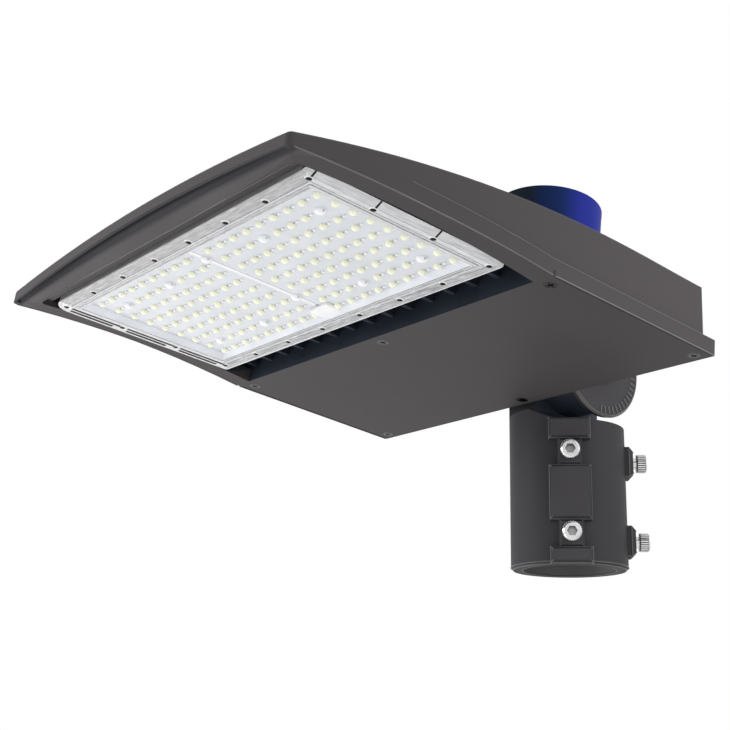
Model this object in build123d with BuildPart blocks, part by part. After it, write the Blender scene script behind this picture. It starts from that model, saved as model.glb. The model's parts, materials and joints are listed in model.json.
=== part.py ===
from build123d import *
from math import asin, cos, degrees, radians, sin, tan
import os

os.makedirs("parts", exist_ok=True)

# Sizes are in millimetres.
# The pole's tenon mouth is at the origin, the pole runs down and the light's front faces -Y.

# Slip fitter that drops over the pole's tenon
bore_radius = 31.5
fitter_wall = 7.8
fitter_height = 96
fitter_roof = 10
collar_height = 9.2
collar_gap = 0.8
ear_radius = 30.5
ear_width = 33.7
cheek_face = 1.7
gusset_width = 18
lead_hole_radius = 8
rim_chamfer = 1.5

# Clamp screws, two on each of two diagonals
clamp_from_rim = 19
clamp_from_top = 23
clamp_angles = {"front": 45, "side": 135}
clamp_radius = 4
clamp_head_radius = 6
clamp_head_height = 7.2
clamp_key = 6
clamp_key_depth = 4.5
clamp_head_edge = 0.8
clamp_travel = 2
clamp_tip_gap = 0.4
thread_gap = 0.05
seat_rises = {"front": 3.2, "side": 5.2}
seat_edges = {"front": 1.5, "side": 3}
seat_heights = {"front": 18, "side": 20}
seat_width = 16
pad_rise = 4.7
pad_width = 27
pad_edge = 1.5
bevel = 45

# Tilt joint
rest_tilt = 7
pivot_radius = 6
pivot_gap = 0.06
pivot_key = 18
pivot_head_height = 8
pivot_nut_height = 10
pivot_washer_radius = 12
pivot_washer_height = 2
pivot_spare_thread = 3
face_gap = 0.3

# Knuckle arm between the tilt joint and the housing
arm_face = 35
disc_radius = 35
disc_thickness = 4
disc_edge = 0.8
disc_overhang = 2
hub_radius = 30
neck_width = 26
neck_height = 38
neck_hollow = 17
neck_hollow_depth = 21
neck_exit_radius = 5
flange_margin = 1.5
flange_thickness = 3.5
flange_corner = 7
arm_screw_inset = 6.5
arm_screw_gap = 0.5
arm_gasket_thickness = 1
tick_pitch = 7.5
tick_count = 13
tick_length = 5
tick_width = 0.9
tick_height = 0.5
tick_rim = 2

# Housing outline, heights are above the service cover's underside
head_width = 305
head_length = 313
axis_rise = 30
wall = 3
front_step = 1.5
side_step = 3.5
rear_step = 4.5
wall_draft = 3
shoulder_front = 8
shoulder_rear = 45
roof_run = 250
roof_shares = (0.16, 0.36, 0.6, 0.8, 1)
crown_front = 9
crown_rear = 10
skirt_height = 9.5
skirt_start = 75
skirt_corner = 1
front_corner = 3.5
shoulder_round = 2.5
lip_rise = 4.5
lip_front = 0.3
foot_depth = 2
front_arch = 9.5
front_arch_inner = 1.2
drip_start = 1.2
drip_width = 4.6
drip_depth = 3
drip_depth_inner = -0.3
drip_end = 4

# Lamp recess and driver space
frame_depth = 12.5
frame_side = 14.75
opening_corner = 5
shelf_top = 5
ledge_top = 9.5
front_wall = 5
cover_thickness = 3
cover_length = 139
cover_corner = 2
boss_radius = 5
boss_gap = 3

# Heat sink with its fins
sink_inset = 2
sink_underside = 8
sink_thickness = 4
fin_pitch = 18.5
fin_thickness = 3
fin_gap = 1
fin_underside = 9.5
fin_rear_gap = 1
post_radius = 5
post_columns = 5.5
post_front = 24
post_rear = 12

# Lamp boards and lens
lens_side_gap = 1.75
lens_setback = 21
lens_gap = 1
channel_length = 19
lens_corner = 3
lens_flange_width = 10
lens_flange = 3.3
lens_face = 2.5
lens_drop = 1.5
lens_wall = 2
lens_gasket_thickness = 1.7
lens_gasket_width = 8
lens_screw_inset = 6.5
lens_screw_columns = 8
lens_screw_rows = 4
board_gap = 2
board_inset = 13
board_side_inset = 15
board_thickness = 1.6
lamp_columns = 9
lamp_rows = 9
lamp_first = 11.5
lamp_side = 7.5
lamp_end = 7.6
lamp_shift = 2.5
lamp_size = 4
lamp_height = 0.7
board_screw_columns = (3, 7)
board_screw_rows = (1, 7)
middle_screw_rows = (0.5, 6)
connector_width = 18
connector_length = 12
connector_height = 1.8
connector_inset = 6
connector_corner = 1

# Pan head screws, given as shank radius, head radius and head height
small_screw = (1.5, 3, 1.8)
board_screw = (1.5, 3.8, 1.6)
lens_screw = (1.75, 2.5, 1.8)
arm_screw = (3, 5.5, 3.5)
head_round = 0.33
recess_width = 0.25
recess_depth = 0.5

# Countersunk screws of the cover and the heat sink
sunk_radius = 2
sunk_head = 4
sink_screw_length = 12
cover_screw_spare = 6
screw_gap = 0.1
cover_screw_side = 10
cover_screw_rear = 7
cover_screw_front = 8.5

# Cover gasket in its groove
seal_inset = 2.5
seal_front = 1.5
seal_width = 2
seal_depth = 1.5

# Control gear in the driver space
gear_drop = 7
gear_plate_thickness = 2
gear_plate_side = 20.5
gear_plate_front = 11
gear_plate_rear = 70
gear_post_side = 6
gear_post_inset = 7
gear_screw_depth = 4
device_gap = 4
device_screw_inset = 6
device_corner = 2
driver_side = 20
driver_end = 3
driver_clearance = 5
surge_width = 32
surge_share = 0.76
surge_height = 24
terminal_side = 20
terminal_width = 12
terminal_share = 0.6
terminal_height = 16
bushing_radius = 9
bushing_bore = 5
bushing_lip = 2
grommet_radius = 5
grommet_bore = 2.5
grommet_drop = 8
lead_x = 5
lead_radius = 2
lead_bend = 9
lead_bend_share = 0.45
lead_spread = 3
lead_loop = 12
driver_lead_side = 30

# Photocell and its receptacle
cell_x = 57
cell_from_rear = 52
cell_seat_rise = 1
cell_seat_rim = 4
receptacle_inset = 1
receptacle_flange = 6
receptacle_body_inset = 9.5
receptacle_hole_gap = 0.5
receptacle_depth = 16
receptacle_gasket_thickness = 1
receptacle_screw_inset = 5
receptacle_screw_angle = 60
receptacle_screw_length = 9
blade_count = 3
blade_share = 0.5
blade_width = 6.4
blade_thickness = 1.6
blade_length = 14
blade_gap = 0.6
cell_twist = 25
cell_radius = 34.7
cell_height = 43.5
cell_wall = 2
cell_round = 1.2
cell_base_thickness = 5
cell_seal_inset = 6.5
cell_seal_width = 2
cell_board_inset = 4
cell_board_thickness = 1.6
window_angle = 70
window_width = 38
window_height = 26
window_rise = 12
window_thickness = 1.4

# Places worked out from the sizes
outer_radius = bore_radius + fitter_wall
bore_depth = fitter_height - fitter_roof
axis_height = fitter_height + collar_height + collar_gap + axis_rise
clamp_heights = (clamp_from_rim, fitter_height - clamp_from_top)
seat_faces = {side: outer_radius + rise for side, rise in seat_rises.items()}
pad_face = outer_radius + pad_rise
hub_start = cheek_face + face_gap
neck_x = hub_start + (arm_face - hub_start) / 2
rear_y = disc_overhang - disc_radius
front_y = rear_y - head_length
base_z = -axis_rise
back_y = rear_y - rear_step
cover_front_y = rear_y - cover_length
opening_width = head_width - 2 * frame_side
opening_front_y = front_y + frame_depth
nose_y = front_y + lens_setback - lens_gap
lens_width = opening_width - 2 * lens_side_gap
lens_length = head_length - cover_length - lens_setback - channel_length
lens_y = front_y + lens_setback + lens_length / 2
sink_width = lens_width - 2 * sink_inset
sink_length = lens_length - 2 * sink_inset
board_width = (lens_width - board_gap) / 2 - board_side_inset
board_length = lens_length - 2 * board_inset
lamp_pitch_x = (board_gap / 2 + board_width - lamp_side - lamp_first) / (lamp_columns - 1)
lamp_pitch_y = (board_length - 2 * lamp_end) / (lamp_rows - 1)
connector_y = lens_y + board_length / 2 - connector_inset
gear_plane = shoulder_rear - gear_drop
gear_top = gear_plane - gear_plate_thickness
gear_plate_width = head_width - 2 * gear_plate_side
gear_plate_length = cover_length - gear_plate_front - gear_plate_rear
gear_y = cover_front_y + gear_plate_front + gear_plate_length / 2
terminal_x = gear_plate_width / 2 - terminal_side
terminal_length = terminal_share * gear_plate_length
surge_x = terminal_x - terminal_width / 2 - device_gap - surge_width / 2
surge_length = surge_share * gear_plate_length
driver_right = surge_x - surge_width / 2 - device_gap
driver_width = driver_right + gear_plate_width / 2 - driver_side
driver_x = driver_right - driver_width / 2
driver_length = gear_plate_length - 2 * driver_end
driver_height = gear_top - driver_clearance
driver_lead_x = driver_right - driver_lead_side
grommet_rise = gear_plane - grommet_drop
boss_height = grommet_rise - grommet_radius - bushing_lip - boss_gap - cover_thickness
cover_screw_length = cover_thickness + boss_height - cover_screw_spare
cell_y = rear_y - cell_from_rear
cell_seat = shoulder_rear + crown_rear + cell_seat_rise
cell_seat_radius = cell_radius + cell_seat_rim
receptacle_radius = cell_radius - receptacle_inset
receptacle_body_radius = cell_radius - receptacle_body_inset
cell_hole_radius = receptacle_body_radius + receptacle_hole_gap
receptacle_screw_circle = cell_radius - receptacle_screw_inset
cell_seal_radius = cell_radius - cell_seal_inset
cell_board_radius = cell_radius - cell_board_inset
blade_circle = blade_share * cell_radius
blade_angles = [360 * blade / blade_count for blade in range(blade_count)]
blade_half = degrees(blade_width / 2 / blade_circle)
blade_reach = blade_half + degrees(blade_gap / blade_circle)
seal_outer_width = head_width - 2 * seal_inset
seal_outer_length = cover_length - seal_inset - seal_front
seal_inner_width = seal_outer_width - 2 * seal_width
seal_inner_length = seal_outer_length - 2 * seal_width
seal_y = rear_y - seal_inset - seal_outer_length / 2
head_place = Pos(0, 0, axis_height) * Rot(-rest_tilt, 0, 0)
on_pole = Pos(0, 0, 0)
BOTTOM = (Align.CENTER, Align.CENTER, Align.MIN)
TOP = (Align.CENTER, Align.CENTER, Align.MAX)
ALONG_X = (0, 90, 0)


def write(piece, name, place):
    """Label a finished piece, set it at its place and write it."""
    placed = piece.part.moved(place)
    placed.label = name
    export_step(placed, f"parts/{name}.step")


def level(height):
    """Horizontal plane of the head at a height above the cover's underside."""
    return Plane.XY.offset(base_z + height)


def upright(y, height):
    """Upright plane across the head that faces its front."""
    return Plane(origin=(0, y, height), x_dir=(1, 0, 0), z_dir=(0, -1, 0))


def outward(angle, radius, height):
    """Plane that faces away from the pole's axis, at an angle from the front."""
    away = (sin(radians(angle)), -cos(radians(angle)), 0)
    across = (cos(radians(angle)), sin(radians(angle)), 0)
    return Plane(origin=(radius * away[0], radius * away[1], height), x_dir=across, z_dir=away)


def shoulder(distance):
    """Height of the side wall's top at a distance behind the front edge."""
    climb = max(0, 1 - distance / roof_run)
    return shoulder_rear - (shoulder_rear - shoulder_front) * climb**2


def wall_base(distance):
    """Half width of the side walls at their base."""
    return head_width / 2 - front_step - (side_step - front_step) * distance / head_length


def shell_section(distance, inset):
    """Cross section of the domed shell, drawn in by an inset."""
    base = wall_base(distance) - inset
    top = base - wall_draft * shoulder(distance) / shoulder_rear
    side = shoulder(distance) - inset
    crown = crown_front + (crown_rear - crown_front) * distance / head_length
    foot = -foot_depth - inset
    with BuildSketch(upright(front_y + distance, base_z)) as section:
        with BuildLine():
            Line((base, foot), (top, side))
            ThreePointArc((top, side), (0, side + crown), (-top, side))
            Line((-top, side), (-base, foot))
            Line((-base, foot), (base, foot))
        make_face()
    return section.sketch


def shell_stations(inset):
    """Distances behind the front edge at which the shell's sections stand."""
    end = head_length - rear_step - inset
    steps = [roof_run * share for share in roof_shares]
    return [inset] + [step for step in steps if step < end - wall] + [end]


def pan_screw(sizes, length):
    """Pan head screw with its point up and the underside of its head at the origin."""
    shank, head, height = sizes
    with BuildPart() as screw:
        Cylinder(shank, length, align=BOTTOM)
        Cylinder(head, height, align=TOP)
        fillet(screw.edges().sort_by(Axis.Z)[0], height * head_round)
        with BuildSketch(Plane.XY.offset(-height)):
            Rectangle(head, head * recess_width)
            Rectangle(head * recess_width, head)
        extrude(amount=height * recess_depth, mode=Mode.SUBTRACT)
    return screw.part


def flat_screw(shank, head, length):
    """Countersunk screw with its point up and its flat head at the origin."""
    with BuildPart() as screw:
        with BuildSketch(Plane.XZ):
            Polygon((0, 0), (head, 0), (shank, head - shank), (shank, length), (0, length), align=None)
        revolve(axis=Axis.Z)
        with BuildSketch(Plane.XY):
            Rectangle(head, head * recess_width)
            Rectangle(head * recess_width, head)
        extrude(amount=(head - shank) * recess_depth, mode=Mode.SUBTRACT)
    return screw.part


# Slip fitter: tube, collar and ear in one casting
axis_above = axis_height - fitter_height
with BuildPart() as slip_fitter:
    with BuildSketch(Plane.YZ.offset(cheek_face)):
        with Locations((0, axis_height)):
            Circle(ear_radius)
        with Locations((0, fitter_height)):
            Rectangle(2 * ear_radius, axis_above, align=(Align.CENTER, Align.MIN))
    extrude(amount=-ear_width)
    with BuildSketch(Plane.XZ):
        with Locations((cheek_face, fitter_height)):
            Polygon((0, 0), (gusset_width, 0), (0, collar_height), align=None)
    extrude(amount=outer_radius, both=True)
    with BuildSketch(Plane.XY.offset(fitter_height)):
        with Locations((cheek_face, 0)):
            Rectangle(2 * outer_radius, 2 * outer_radius, align=(Align.MAX, Align.CENTER))
    extrude(amount=collar_height)
    Cylinder(outer_radius, 2 * axis_height, align=BOTTOM, mode=Mode.INTERSECT)
    Cylinder(outer_radius, fitter_height, align=BOTTOM)
    chamfer(slip_fitter.edges().filter_by(GeomType.CIRCLE).sort_by(Axis.Z)[0], rim_chamfer)
    front_half = seat_heights["front"] / 2
    pad_spans = [
        (0, clamp_heights[0] - front_half),
        (clamp_heights[0] + front_half, clamp_heights[1] - front_half),
        (clamp_heights[1] + front_half, fitter_height),
    ]
    for low, high in pad_spans:
        with BuildSketch(outward(clamp_angles["front"], 0, (low + high) / 2)):
            Rectangle(pad_width, high - low)
        extrude(amount=pad_face - pad_edge)
        with BuildSketch(outward(clamp_angles["front"], pad_face - pad_edge, (low + high) / 2)):
            Rectangle(pad_width, high - low)
        extrude(amount=pad_edge, taper=bevel)
    for side, angle in clamp_angles.items():
        seat_foot = seat_faces[side] - seat_edges[side]
        for height in clamp_heights:
            with BuildSketch(outward(angle, 0, height)):
                Rectangle(seat_width, seat_heights[side])
            extrude(amount=seat_foot)
            with BuildSketch(outward(angle, seat_foot, height)):
                Rectangle(seat_width, seat_heights[side])
            extrude(amount=seat_edges[side], taper=bevel)
    Cylinder(bore_radius, bore_depth, align=BOTTOM, mode=Mode.SUBTRACT)
    for angle in clamp_angles.values():
        for height in clamp_heights:
            with BuildSketch(outward(angle, 0, height)):
                Circle(clamp_radius + thread_gap)
            extrude(amount=2 * outer_radius, mode=Mode.SUBTRACT)
    with Locations((neck_x, 0, bore_depth)):
        Cylinder(lead_hole_radius, fitter_height, align=BOTTOM, mode=Mode.SUBTRACT)
    with Locations((0, 0, axis_height)):
        Cylinder(pivot_radius + pivot_gap, 4 * ear_width, rotation=ALONG_X, mode=Mode.SUBTRACT)
write(slip_fitter, "slip_fitter", on_pole)

# Clamp screws, standing off their seats by the way they can still be driven in
for side, angle in clamp_angles.items():
    clamp_seat = seat_faces[side] + clamp_travel
    clamp_length = clamp_seat - bore_radius - clamp_tip_gap
    for level_name, height in zip(("lower", "upper"), clamp_heights):
        seat = outward(angle, clamp_seat, height)
        with BuildPart() as clamp_screw:
            with BuildSketch(seat):
                Circle(clamp_head_radius)
            extrude(amount=clamp_head_height)
            chamfer(clamp_screw.edges().sort_by(SortBy.DISTANCE)[-1], clamp_head_edge)
            with BuildSketch(seat):
                Circle(clamp_radius)
            extrude(amount=-clamp_length)
            with BuildSketch(seat.offset(clamp_head_height)):
                RegularPolygon(clamp_key / 2, 6, major_radius=False)
            extrude(amount=-clamp_key_depth, mode=Mode.SUBTRACT)
        write(clamp_screw, f"clamp_screw_{side}_{level_name}", on_pole)

# Pivot bolt through the ear and the arm, with its washers and nut
ear_back = cheek_face - ear_width
head_seat = ear_back - pivot_washer_height
nut_seat = arm_face + face_gap + pivot_washer_height
bolt_end = nut_seat + pivot_nut_height + pivot_spare_thread
with BuildPart() as pivot_bolt:
    with BuildSketch(Plane.YZ.offset(head_seat)):
        RegularPolygon(pivot_key / 2, 6, major_radius=False)
    extrude(amount=-pivot_head_height)
    with BuildSketch(Plane.YZ.offset(head_seat)):
        Circle(pivot_radius)
    extrude(amount=bolt_end - head_seat)
at_axis = Pos(0, 0, axis_height)
write(pivot_bolt, "pivot_bolt", at_axis)

with BuildPart() as pivot_washers:
    for start in (head_seat, nut_seat - pivot_washer_height):
        with BuildSketch(Plane.YZ.offset(start)):
            Circle(pivot_washer_radius)
            Circle(pivot_radius + pivot_gap, mode=Mode.SUBTRACT)
        extrude(amount=pivot_washer_height)
write(pivot_washers, "pivot_washers", at_axis)

with BuildPart() as pivot_nut:
    with BuildSketch(Plane.YZ.offset(nut_seat)):
        RegularPolygon(pivot_key / 2, 6, major_radius=False)
        Circle(pivot_radius + pivot_gap, mode=Mode.SUBTRACT)
    extrude(amount=pivot_nut_height)
write(pivot_nut, "pivot_nut", at_axis)

# The head's pieces are drawn level, with the tilt axis at the origin.
# Knuckle arm: flange on the housing's back, neck, hub and the disc with its tilt scale
flange_front = back_y + arm_gasket_thickness
flange_z = base_z + skirt_height + (shoulder_rear - skirt_height) / 2
arm_screw_x = neck_x + bushing_radius + bushing_lip + arm_screw[1] + arm_screw_gap
flange_width = 2 * (arm_screw_x + arm_screw_inset)
flange_height = shoulder_rear - skirt_height - flange_margin
arm_screw_z = flange_height / 2 - arm_screw_inset
arm_screw_places = [(x, z) for x in (-arm_screw_x, arm_screw_x) for z in (-arm_screw_z, arm_screw_z)]
with BuildPart() as knuckle_arm:
    with BuildSketch(Plane.YZ.offset(hub_start)):
        Circle(hub_radius)
    extrude(amount=arm_face - hub_start)
    with BuildSketch(Plane.YZ.offset(arm_face - disc_thickness)):
        Circle(disc_radius)
    extrude(amount=disc_thickness)
    chamfer(knuckle_arm.faces().sort_by(Axis.X)[-1].edges(), disc_edge)
    with BuildSketch(Plane.XZ):
        with Locations((neck_x, 0)):
            Rectangle(neck_width, neck_height)
    extrude(amount=-flange_front)
    with BuildSketch(upright(flange_front, flange_z)):
        RectangleRounded(flange_width, flange_height, flange_corner)
    extrude(amount=-flange_thickness)
    with BuildSketch(Plane.YZ.offset(arm_face)):
        with PolarLocations(disc_radius - tick_rim - tick_length / 2, tick_count, start_angle=-90,
                            angular_range=(tick_count - 1) * tick_pitch, endpoint=True):
            Rectangle(tick_length, tick_width)
    extrude(amount=tick_height)
    Cylinder(pivot_radius + pivot_gap, 4 * arm_face, rotation=ALONG_X, mode=Mode.SUBTRACT)
    with BuildSketch(upright(flange_front, 0)):
        with Locations((neck_x, 0)):
            Rectangle(neck_hollow, neck_hollow)
    extrude(amount=-neck_hollow_depth, mode=Mode.SUBTRACT)
    with Locations((neck_x, flange_front + neck_hollow_depth - neck_hollow / 2, 0)):
        Cylinder(neck_exit_radius, disc_radius, align=TOP, mode=Mode.SUBTRACT)
    with BuildSketch(upright(flange_front, flange_z)):
        with Locations(*arm_screw_places):
            Circle(arm_screw[0] + screw_gap)
    extrude(amount=-flange_thickness, mode=Mode.SUBTRACT)
write(knuckle_arm, "knuckle_arm", head_place)

with BuildPart() as arm_gasket:
    with BuildSketch(upright(back_y, flange_z)):
        RectangleRounded(flange_width, flange_height, flange_corner)
        with Locations((neck_x, -flange_z)):
            Circle(bushing_radius + bushing_lip + screw_gap, mode=Mode.SUBTRACT)
        with Locations(*arm_screw_places):
            Circle(arm_screw[0] + screw_gap, mode=Mode.SUBTRACT)
    extrude(amount=-arm_gasket_thickness)
write(arm_gasket, "arm_gasket", head_place)

with BuildPart() as arm_screws:
    for x, z in arm_screw_places:
        with Locations(Location((x, back_y - wall, flange_z + z), (-90, 0, 0))):
            add(pan_screw(arm_screw, wall + arm_gasket_thickness + flange_thickness))
write(arm_screws, "arm_screws", head_place)

# The shell's outside, the space inside it and a core between the two that posts end in
with BuildPart() as shell_outside:
    loft(sections=[shell_section(distance, 0) for distance in shell_stations(0)])
    side_edges = shell_outside.edges().filter_by(lambda edge: abs(edge.center().X) > head_width / 3)
    fillet(side_edges.group_by(Axis.Y)[0], front_corner)
    ridges = shell_outside.edges().filter_by(lambda edge: edge.center().Z > base_z + shoulder_front / 2)
    fillet(ridges.filter_by(lambda edge: abs(edge.center().X) > head_width / 3), shoulder_round)
with BuildPart() as shell_inside:
    loft(sections=[shell_section(distance, wall) for distance in shell_stations(wall)])
with BuildPart() as shell_core:
    loft(sections=[shell_section(distance, wall / 2) for distance in shell_stations(wall / 2)])

# Skirt round the rear, flush with the wall where it starts
with BuildPart() as skirt:
    with BuildSketch(level(-foot_depth)) as skirt_plan:
        start_y = front_y + skirt_start
        start_x = wall_base(skirt_start) - wall_draft * (skirt_height + lip_rise) / shoulder_rear
        with BuildLine():
            Polyline(
                (start_x, start_y),
                (head_width / 2, cover_front_y),
                (head_width / 2, rear_y),
                (-head_width / 2, rear_y),
                (-head_width / 2, cover_front_y),
                (-start_x, start_y),
                close=True,
            )
        make_face()
        fillet(skirt_plan.vertices().group_by(Axis.Y)[-1], skirt_corner)
    extrude(amount=shoulder_rear)
    with BuildSketch(Plane.YZ):
        with BuildLine():
            Polyline((cover_front_y, base_z + skirt_height), (rear_y, base_z + skirt_height),
                     (rear_y, base_z - foot_depth), (front_y, base_z - foot_depth),
                     (front_y, base_z + skirt_height + lip_front))
            ThreePointArc((front_y, base_z + skirt_height + lip_front),
                          ((front_y + cover_front_y) / 2, base_z + skirt_height + lip_rise),
                          (cover_front_y, base_z + skirt_height))
        make_face()
    extrude(amount=head_width, both=True, mode=Mode.INTERSECT)

# Space for the lamp: the recess round the lens, the opening in it and the room above
lens_rear = lens_y + lens_length / 2
with BuildPart() as lamp_space:
    with BuildSketch(level(ledge_top)):
        with Locations((0, nose_y)):
            Rectangle(head_width, cover_front_y - nose_y, align=(Align.CENTER, Align.MIN))
    extrude(amount=shoulder_rear + crown_rear)
    add(shell_inside.part, mode=Mode.INTERSECT)
    with BuildSketch(level(-foot_depth)) as recess:
        with Locations((0, opening_front_y)):
            Rectangle(opening_width, cover_front_y - opening_front_y, align=(Align.CENTER, Align.MIN))
        fillet(recess.vertices(), opening_corner)
    extrude(amount=shelf_top + foot_depth)
    with BuildSketch(level(0)):
        with Locations((0, nose_y)):
            Rectangle(lens_width + 2 * lens_gap, cover_front_y - nose_y, align=(Align.CENTER, Align.MIN))
        with Locations((0, cover_front_y)):
            Rectangle(opening_width, cover_front_y - lens_rear + lens_corner, align=(Align.CENTER, Align.MAX))
    extrude(amount=ledge_top + wall)

# Space for the driver, closed below by the service cover
with BuildPart() as driver_space:
    with BuildSketch(level(0)):
        with Locations((0, cover_front_y + front_wall)):
            Rectangle(head_width, cover_length, align=(Align.CENTER, Align.MIN))
    extrude(amount=shoulder_rear + crown_rear)
    add(shell_inside.part, mode=Mode.INTERSECT)

# Screw places on the head
cover_screw_x = head_width / 2 - cover_screw_side
cover_screw_places = [
    (x, y) for x in (-cover_screw_x, 0, cover_screw_x)
    for y in (cover_front_y + cover_screw_front, rear_y - cover_screw_rear)
]
post_rows = (lens_y - sink_length / 2 + post_front, lens_y + sink_length / 2 - post_rear)
sink_post_places = [(side * post_columns * fin_pitch, row) for side in (-1, 1) for row in post_rows]
gear_post_x = gear_plate_width / 2 - gear_post_side
gear_post_y = gear_plate_length / 2 - gear_post_inset
gear_post_places = [(side * gear_post_x, gear_y + end * gear_post_y) for side in (-1, 1) for end in (-1, 1)]
receptacle_screw_x = receptacle_screw_circle * cos(radians(receptacle_screw_angle))
receptacle_screw_y = receptacle_screw_circle * sin(radians(receptacle_screw_angle))
receptacle_screw_places = [
    (cell_x + side * receptacle_screw_x, cell_y + side * receptacle_screw_y) for side in (-1, 1)
]
lens_screw_x = lens_width / 2 - lens_screw_inset
lens_screw_y = lens_length / 2 - lens_screw_inset
lens_screw_places = [
    (lens_screw_x * (2 * column / (lens_screw_columns - 1) - 1), lens_y + end * lens_screw_y)
    for column in range(lens_screw_columns) for end in (-1, 1)
]
lens_screw_places += [
    (side * lens_screw_x, lens_y + lens_screw_y * (2 * row / (lens_screw_rows - 1) - 1))
    for row in range(1, lens_screw_rows - 1) for side in (-1, 1)
]


def lamp_row(row):
    """Place of a row of lamps along the head, counted from the front."""
    return lens_y + lamp_shift + (row - (lamp_rows - 1) / 2) * lamp_pitch_y


def lamp_column(column):
    """Distance of a column of lamps from the head's middle."""
    return lamp_first + column * lamp_pitch_x


lamp_places = [
    (lamp_column(column), lamp_row(row)) for column in range(lamp_columns) for row in range(lamp_rows)
    if not (column in board_screw_columns and row in board_screw_rows)
]
board_screw_places = [
    (side * lamp_column(column), lamp_row(row))
    for side in (-1, 1) for column in board_screw_columns for row in board_screw_rows
]
board_screw_places += [(0, lamp_row(row)) for row in middle_screw_rows]

# Posts and bosses inside the shell, ended in the thickness of its roof and walls
with BuildPart() as posts:
    with BuildSketch(level(sink_underside + sink_thickness)):
        with Locations(*sink_post_places):
            Circle(post_radius)
    extrude(amount=shoulder_rear + crown_rear)
    with BuildSketch(level(gear_plane)):
        with Locations(*gear_post_places):
            Circle(post_radius)
    extrude(amount=shoulder_rear)
    with BuildSketch(level(cover_thickness)):
        with Locations(*cover_screw_places):
            Circle(boss_radius)
    extrude(amount=boss_height)
    add(shell_core.part, mode=Mode.INTERSECT)


def arch_section(depth, half, raised):
    """Section of the space under the front's arch at a depth, raised above the arch's face."""
    rise = front_arch + (front_arch_inner - front_arch) * depth / frame_depth
    foot = lip_front + raised
    with BuildSketch(upright(front_y + depth, base_z)) as section:
        with BuildLine():
            ThreePointArc((-half, foot), (0, foot + rise), (half, foot))
            Polyline((half, foot), (half, -foot_depth), (-half, -foot_depth), (-half, foot))
        make_face()
    return section.sketch


# Arch under the front edge, with a drip groove close behind the front face
arch_half = wall_base(0)
drip_half = arch_half - drip_end
with BuildPart() as front_arch_space:
    loft(sections=[arch_section(0, arch_half, 0), arch_section(frame_depth, arch_half, 0)], ruled=True)
with BuildPart() as drip_groove:
    loft(sections=[arch_section(drip_start, drip_half, drip_depth),
                   arch_section(drip_start + drip_width, drip_half, drip_depth_inner)], ruled=True)

# Housing: shell, skirt and posts in one casting
with BuildPart() as housing:
    add(shell_outside.part)
    add(skirt.part)
    with BuildSketch(Plane.YZ):
        with BuildLine():
            ThreePointArc((front_y, base_z + lip_front), ((front_y + cover_front_y) / 2, base_z + lip_rise),
                          (cover_front_y, base_z))
            Polyline((cover_front_y, base_z), (cover_front_y, base_z + cover_thickness),
                     (head_length, base_z + cover_thickness), (head_length, base_z - axis_rise),
                     (front_y, base_z - axis_rise), (front_y, base_z + lip_front))
        make_face()
    extrude(amount=head_width, both=True, mode=Mode.SUBTRACT)
    add(lamp_space.part, mode=Mode.SUBTRACT)
    add(driver_space.part, mode=Mode.SUBTRACT)
    add(posts.part)
    add(front_arch_space.part, mode=Mode.SUBTRACT)
    add(drip_groove.part, mode=Mode.SUBTRACT)
    with BuildSketch(level(cell_seat)):
        with Locations((cell_x, cell_y)):
            Circle(cell_seat_radius)
    extrude(amount=shoulder_rear - wall - cell_seat)
    with BuildSketch(level(cell_seat)):
        with Locations((cell_x, cell_y)):
            Circle(cell_hole_radius)
    extrude(amount=gear_plane - cell_seat, mode=Mode.SUBTRACT)
    with BuildSketch(level(cell_seat)):
        with Locations(*receptacle_screw_places):
            Circle(small_screw[0] + screw_gap)
    extrude(amount=-receptacle_screw_length, mode=Mode.SUBTRACT)
    with BuildSketch(level(cover_thickness)):
        with Locations((0, seal_y)):
            Rectangle(seal_outer_width, seal_outer_length)
            Rectangle(seal_inner_width, seal_inner_length, mode=Mode.SUBTRACT)
    extrude(amount=seal_depth, mode=Mode.SUBTRACT)
    with BuildSketch(level(0)):
        with Locations(*cover_screw_places):
            Circle(sunk_radius + screw_gap)
    extrude(amount=cover_screw_length + screw_gap, mode=Mode.SUBTRACT)
    with BuildSketch(level(0)):
        with Locations(*sink_post_places):
            Circle(sunk_radius + screw_gap)
    extrude(amount=sink_underside + sink_screw_length + screw_gap, mode=Mode.SUBTRACT)
    with BuildSketch(level(gear_plane)):
        with Locations(*gear_post_places):
            Circle(small_screw[0] + screw_gap)
    extrude(amount=gear_screw_depth + screw_gap, mode=Mode.SUBTRACT)
    with BuildSketch(upright(back_y, flange_z)):
        with Locations(*arm_screw_places):
            Circle(arm_screw[0] + screw_gap)
        with Locations((neck_x, -flange_z)):
            Circle(bushing_radius)
    extrude(amount=2 * wall, mode=Mode.SUBTRACT)
    with BuildSketch(upright(cover_front_y, base_z)):
        with Locations((lead_x, grommet_rise)):
            Circle(grommet_radius)
    extrude(amount=-front_wall, mode=Mode.SUBTRACT)
write(housing, "housing", head_place)

# Service cover under the driver space, its gasket and its screws
with BuildPart() as service_cover:
    with BuildSketch(level(0)) as cover_plan:
        with Locations((0, rear_y)):
            Rectangle(head_width, cover_length, align=(Align.CENTER, Align.MAX))
        fillet(cover_plan.vertices().group_by(Axis.Y)[-1], skirt_corner)
        fillet(cover_plan.vertices().group_by(Axis.Y)[0], cover_corner)
    extrude(amount=cover_thickness)
    with Locations(*[Location((x, y, base_z), (180, 0, 0)) for x, y in cover_screw_places]):
        CounterSinkHole(sunk_radius + screw_gap, sunk_head + screw_gap, counter_sink_angle=90)
write(service_cover, "service_cover", head_place)

with BuildPart() as cover_gasket:
    with BuildSketch(level(cover_thickness)):
        with Locations((0, seal_y)):
            Rectangle(seal_outer_width, seal_outer_length)
            Rectangle(seal_inner_width, seal_inner_length, mode=Mode.SUBTRACT)
    extrude(amount=seal_depth)
write(cover_gasket, "cover_gasket", head_place)

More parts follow.
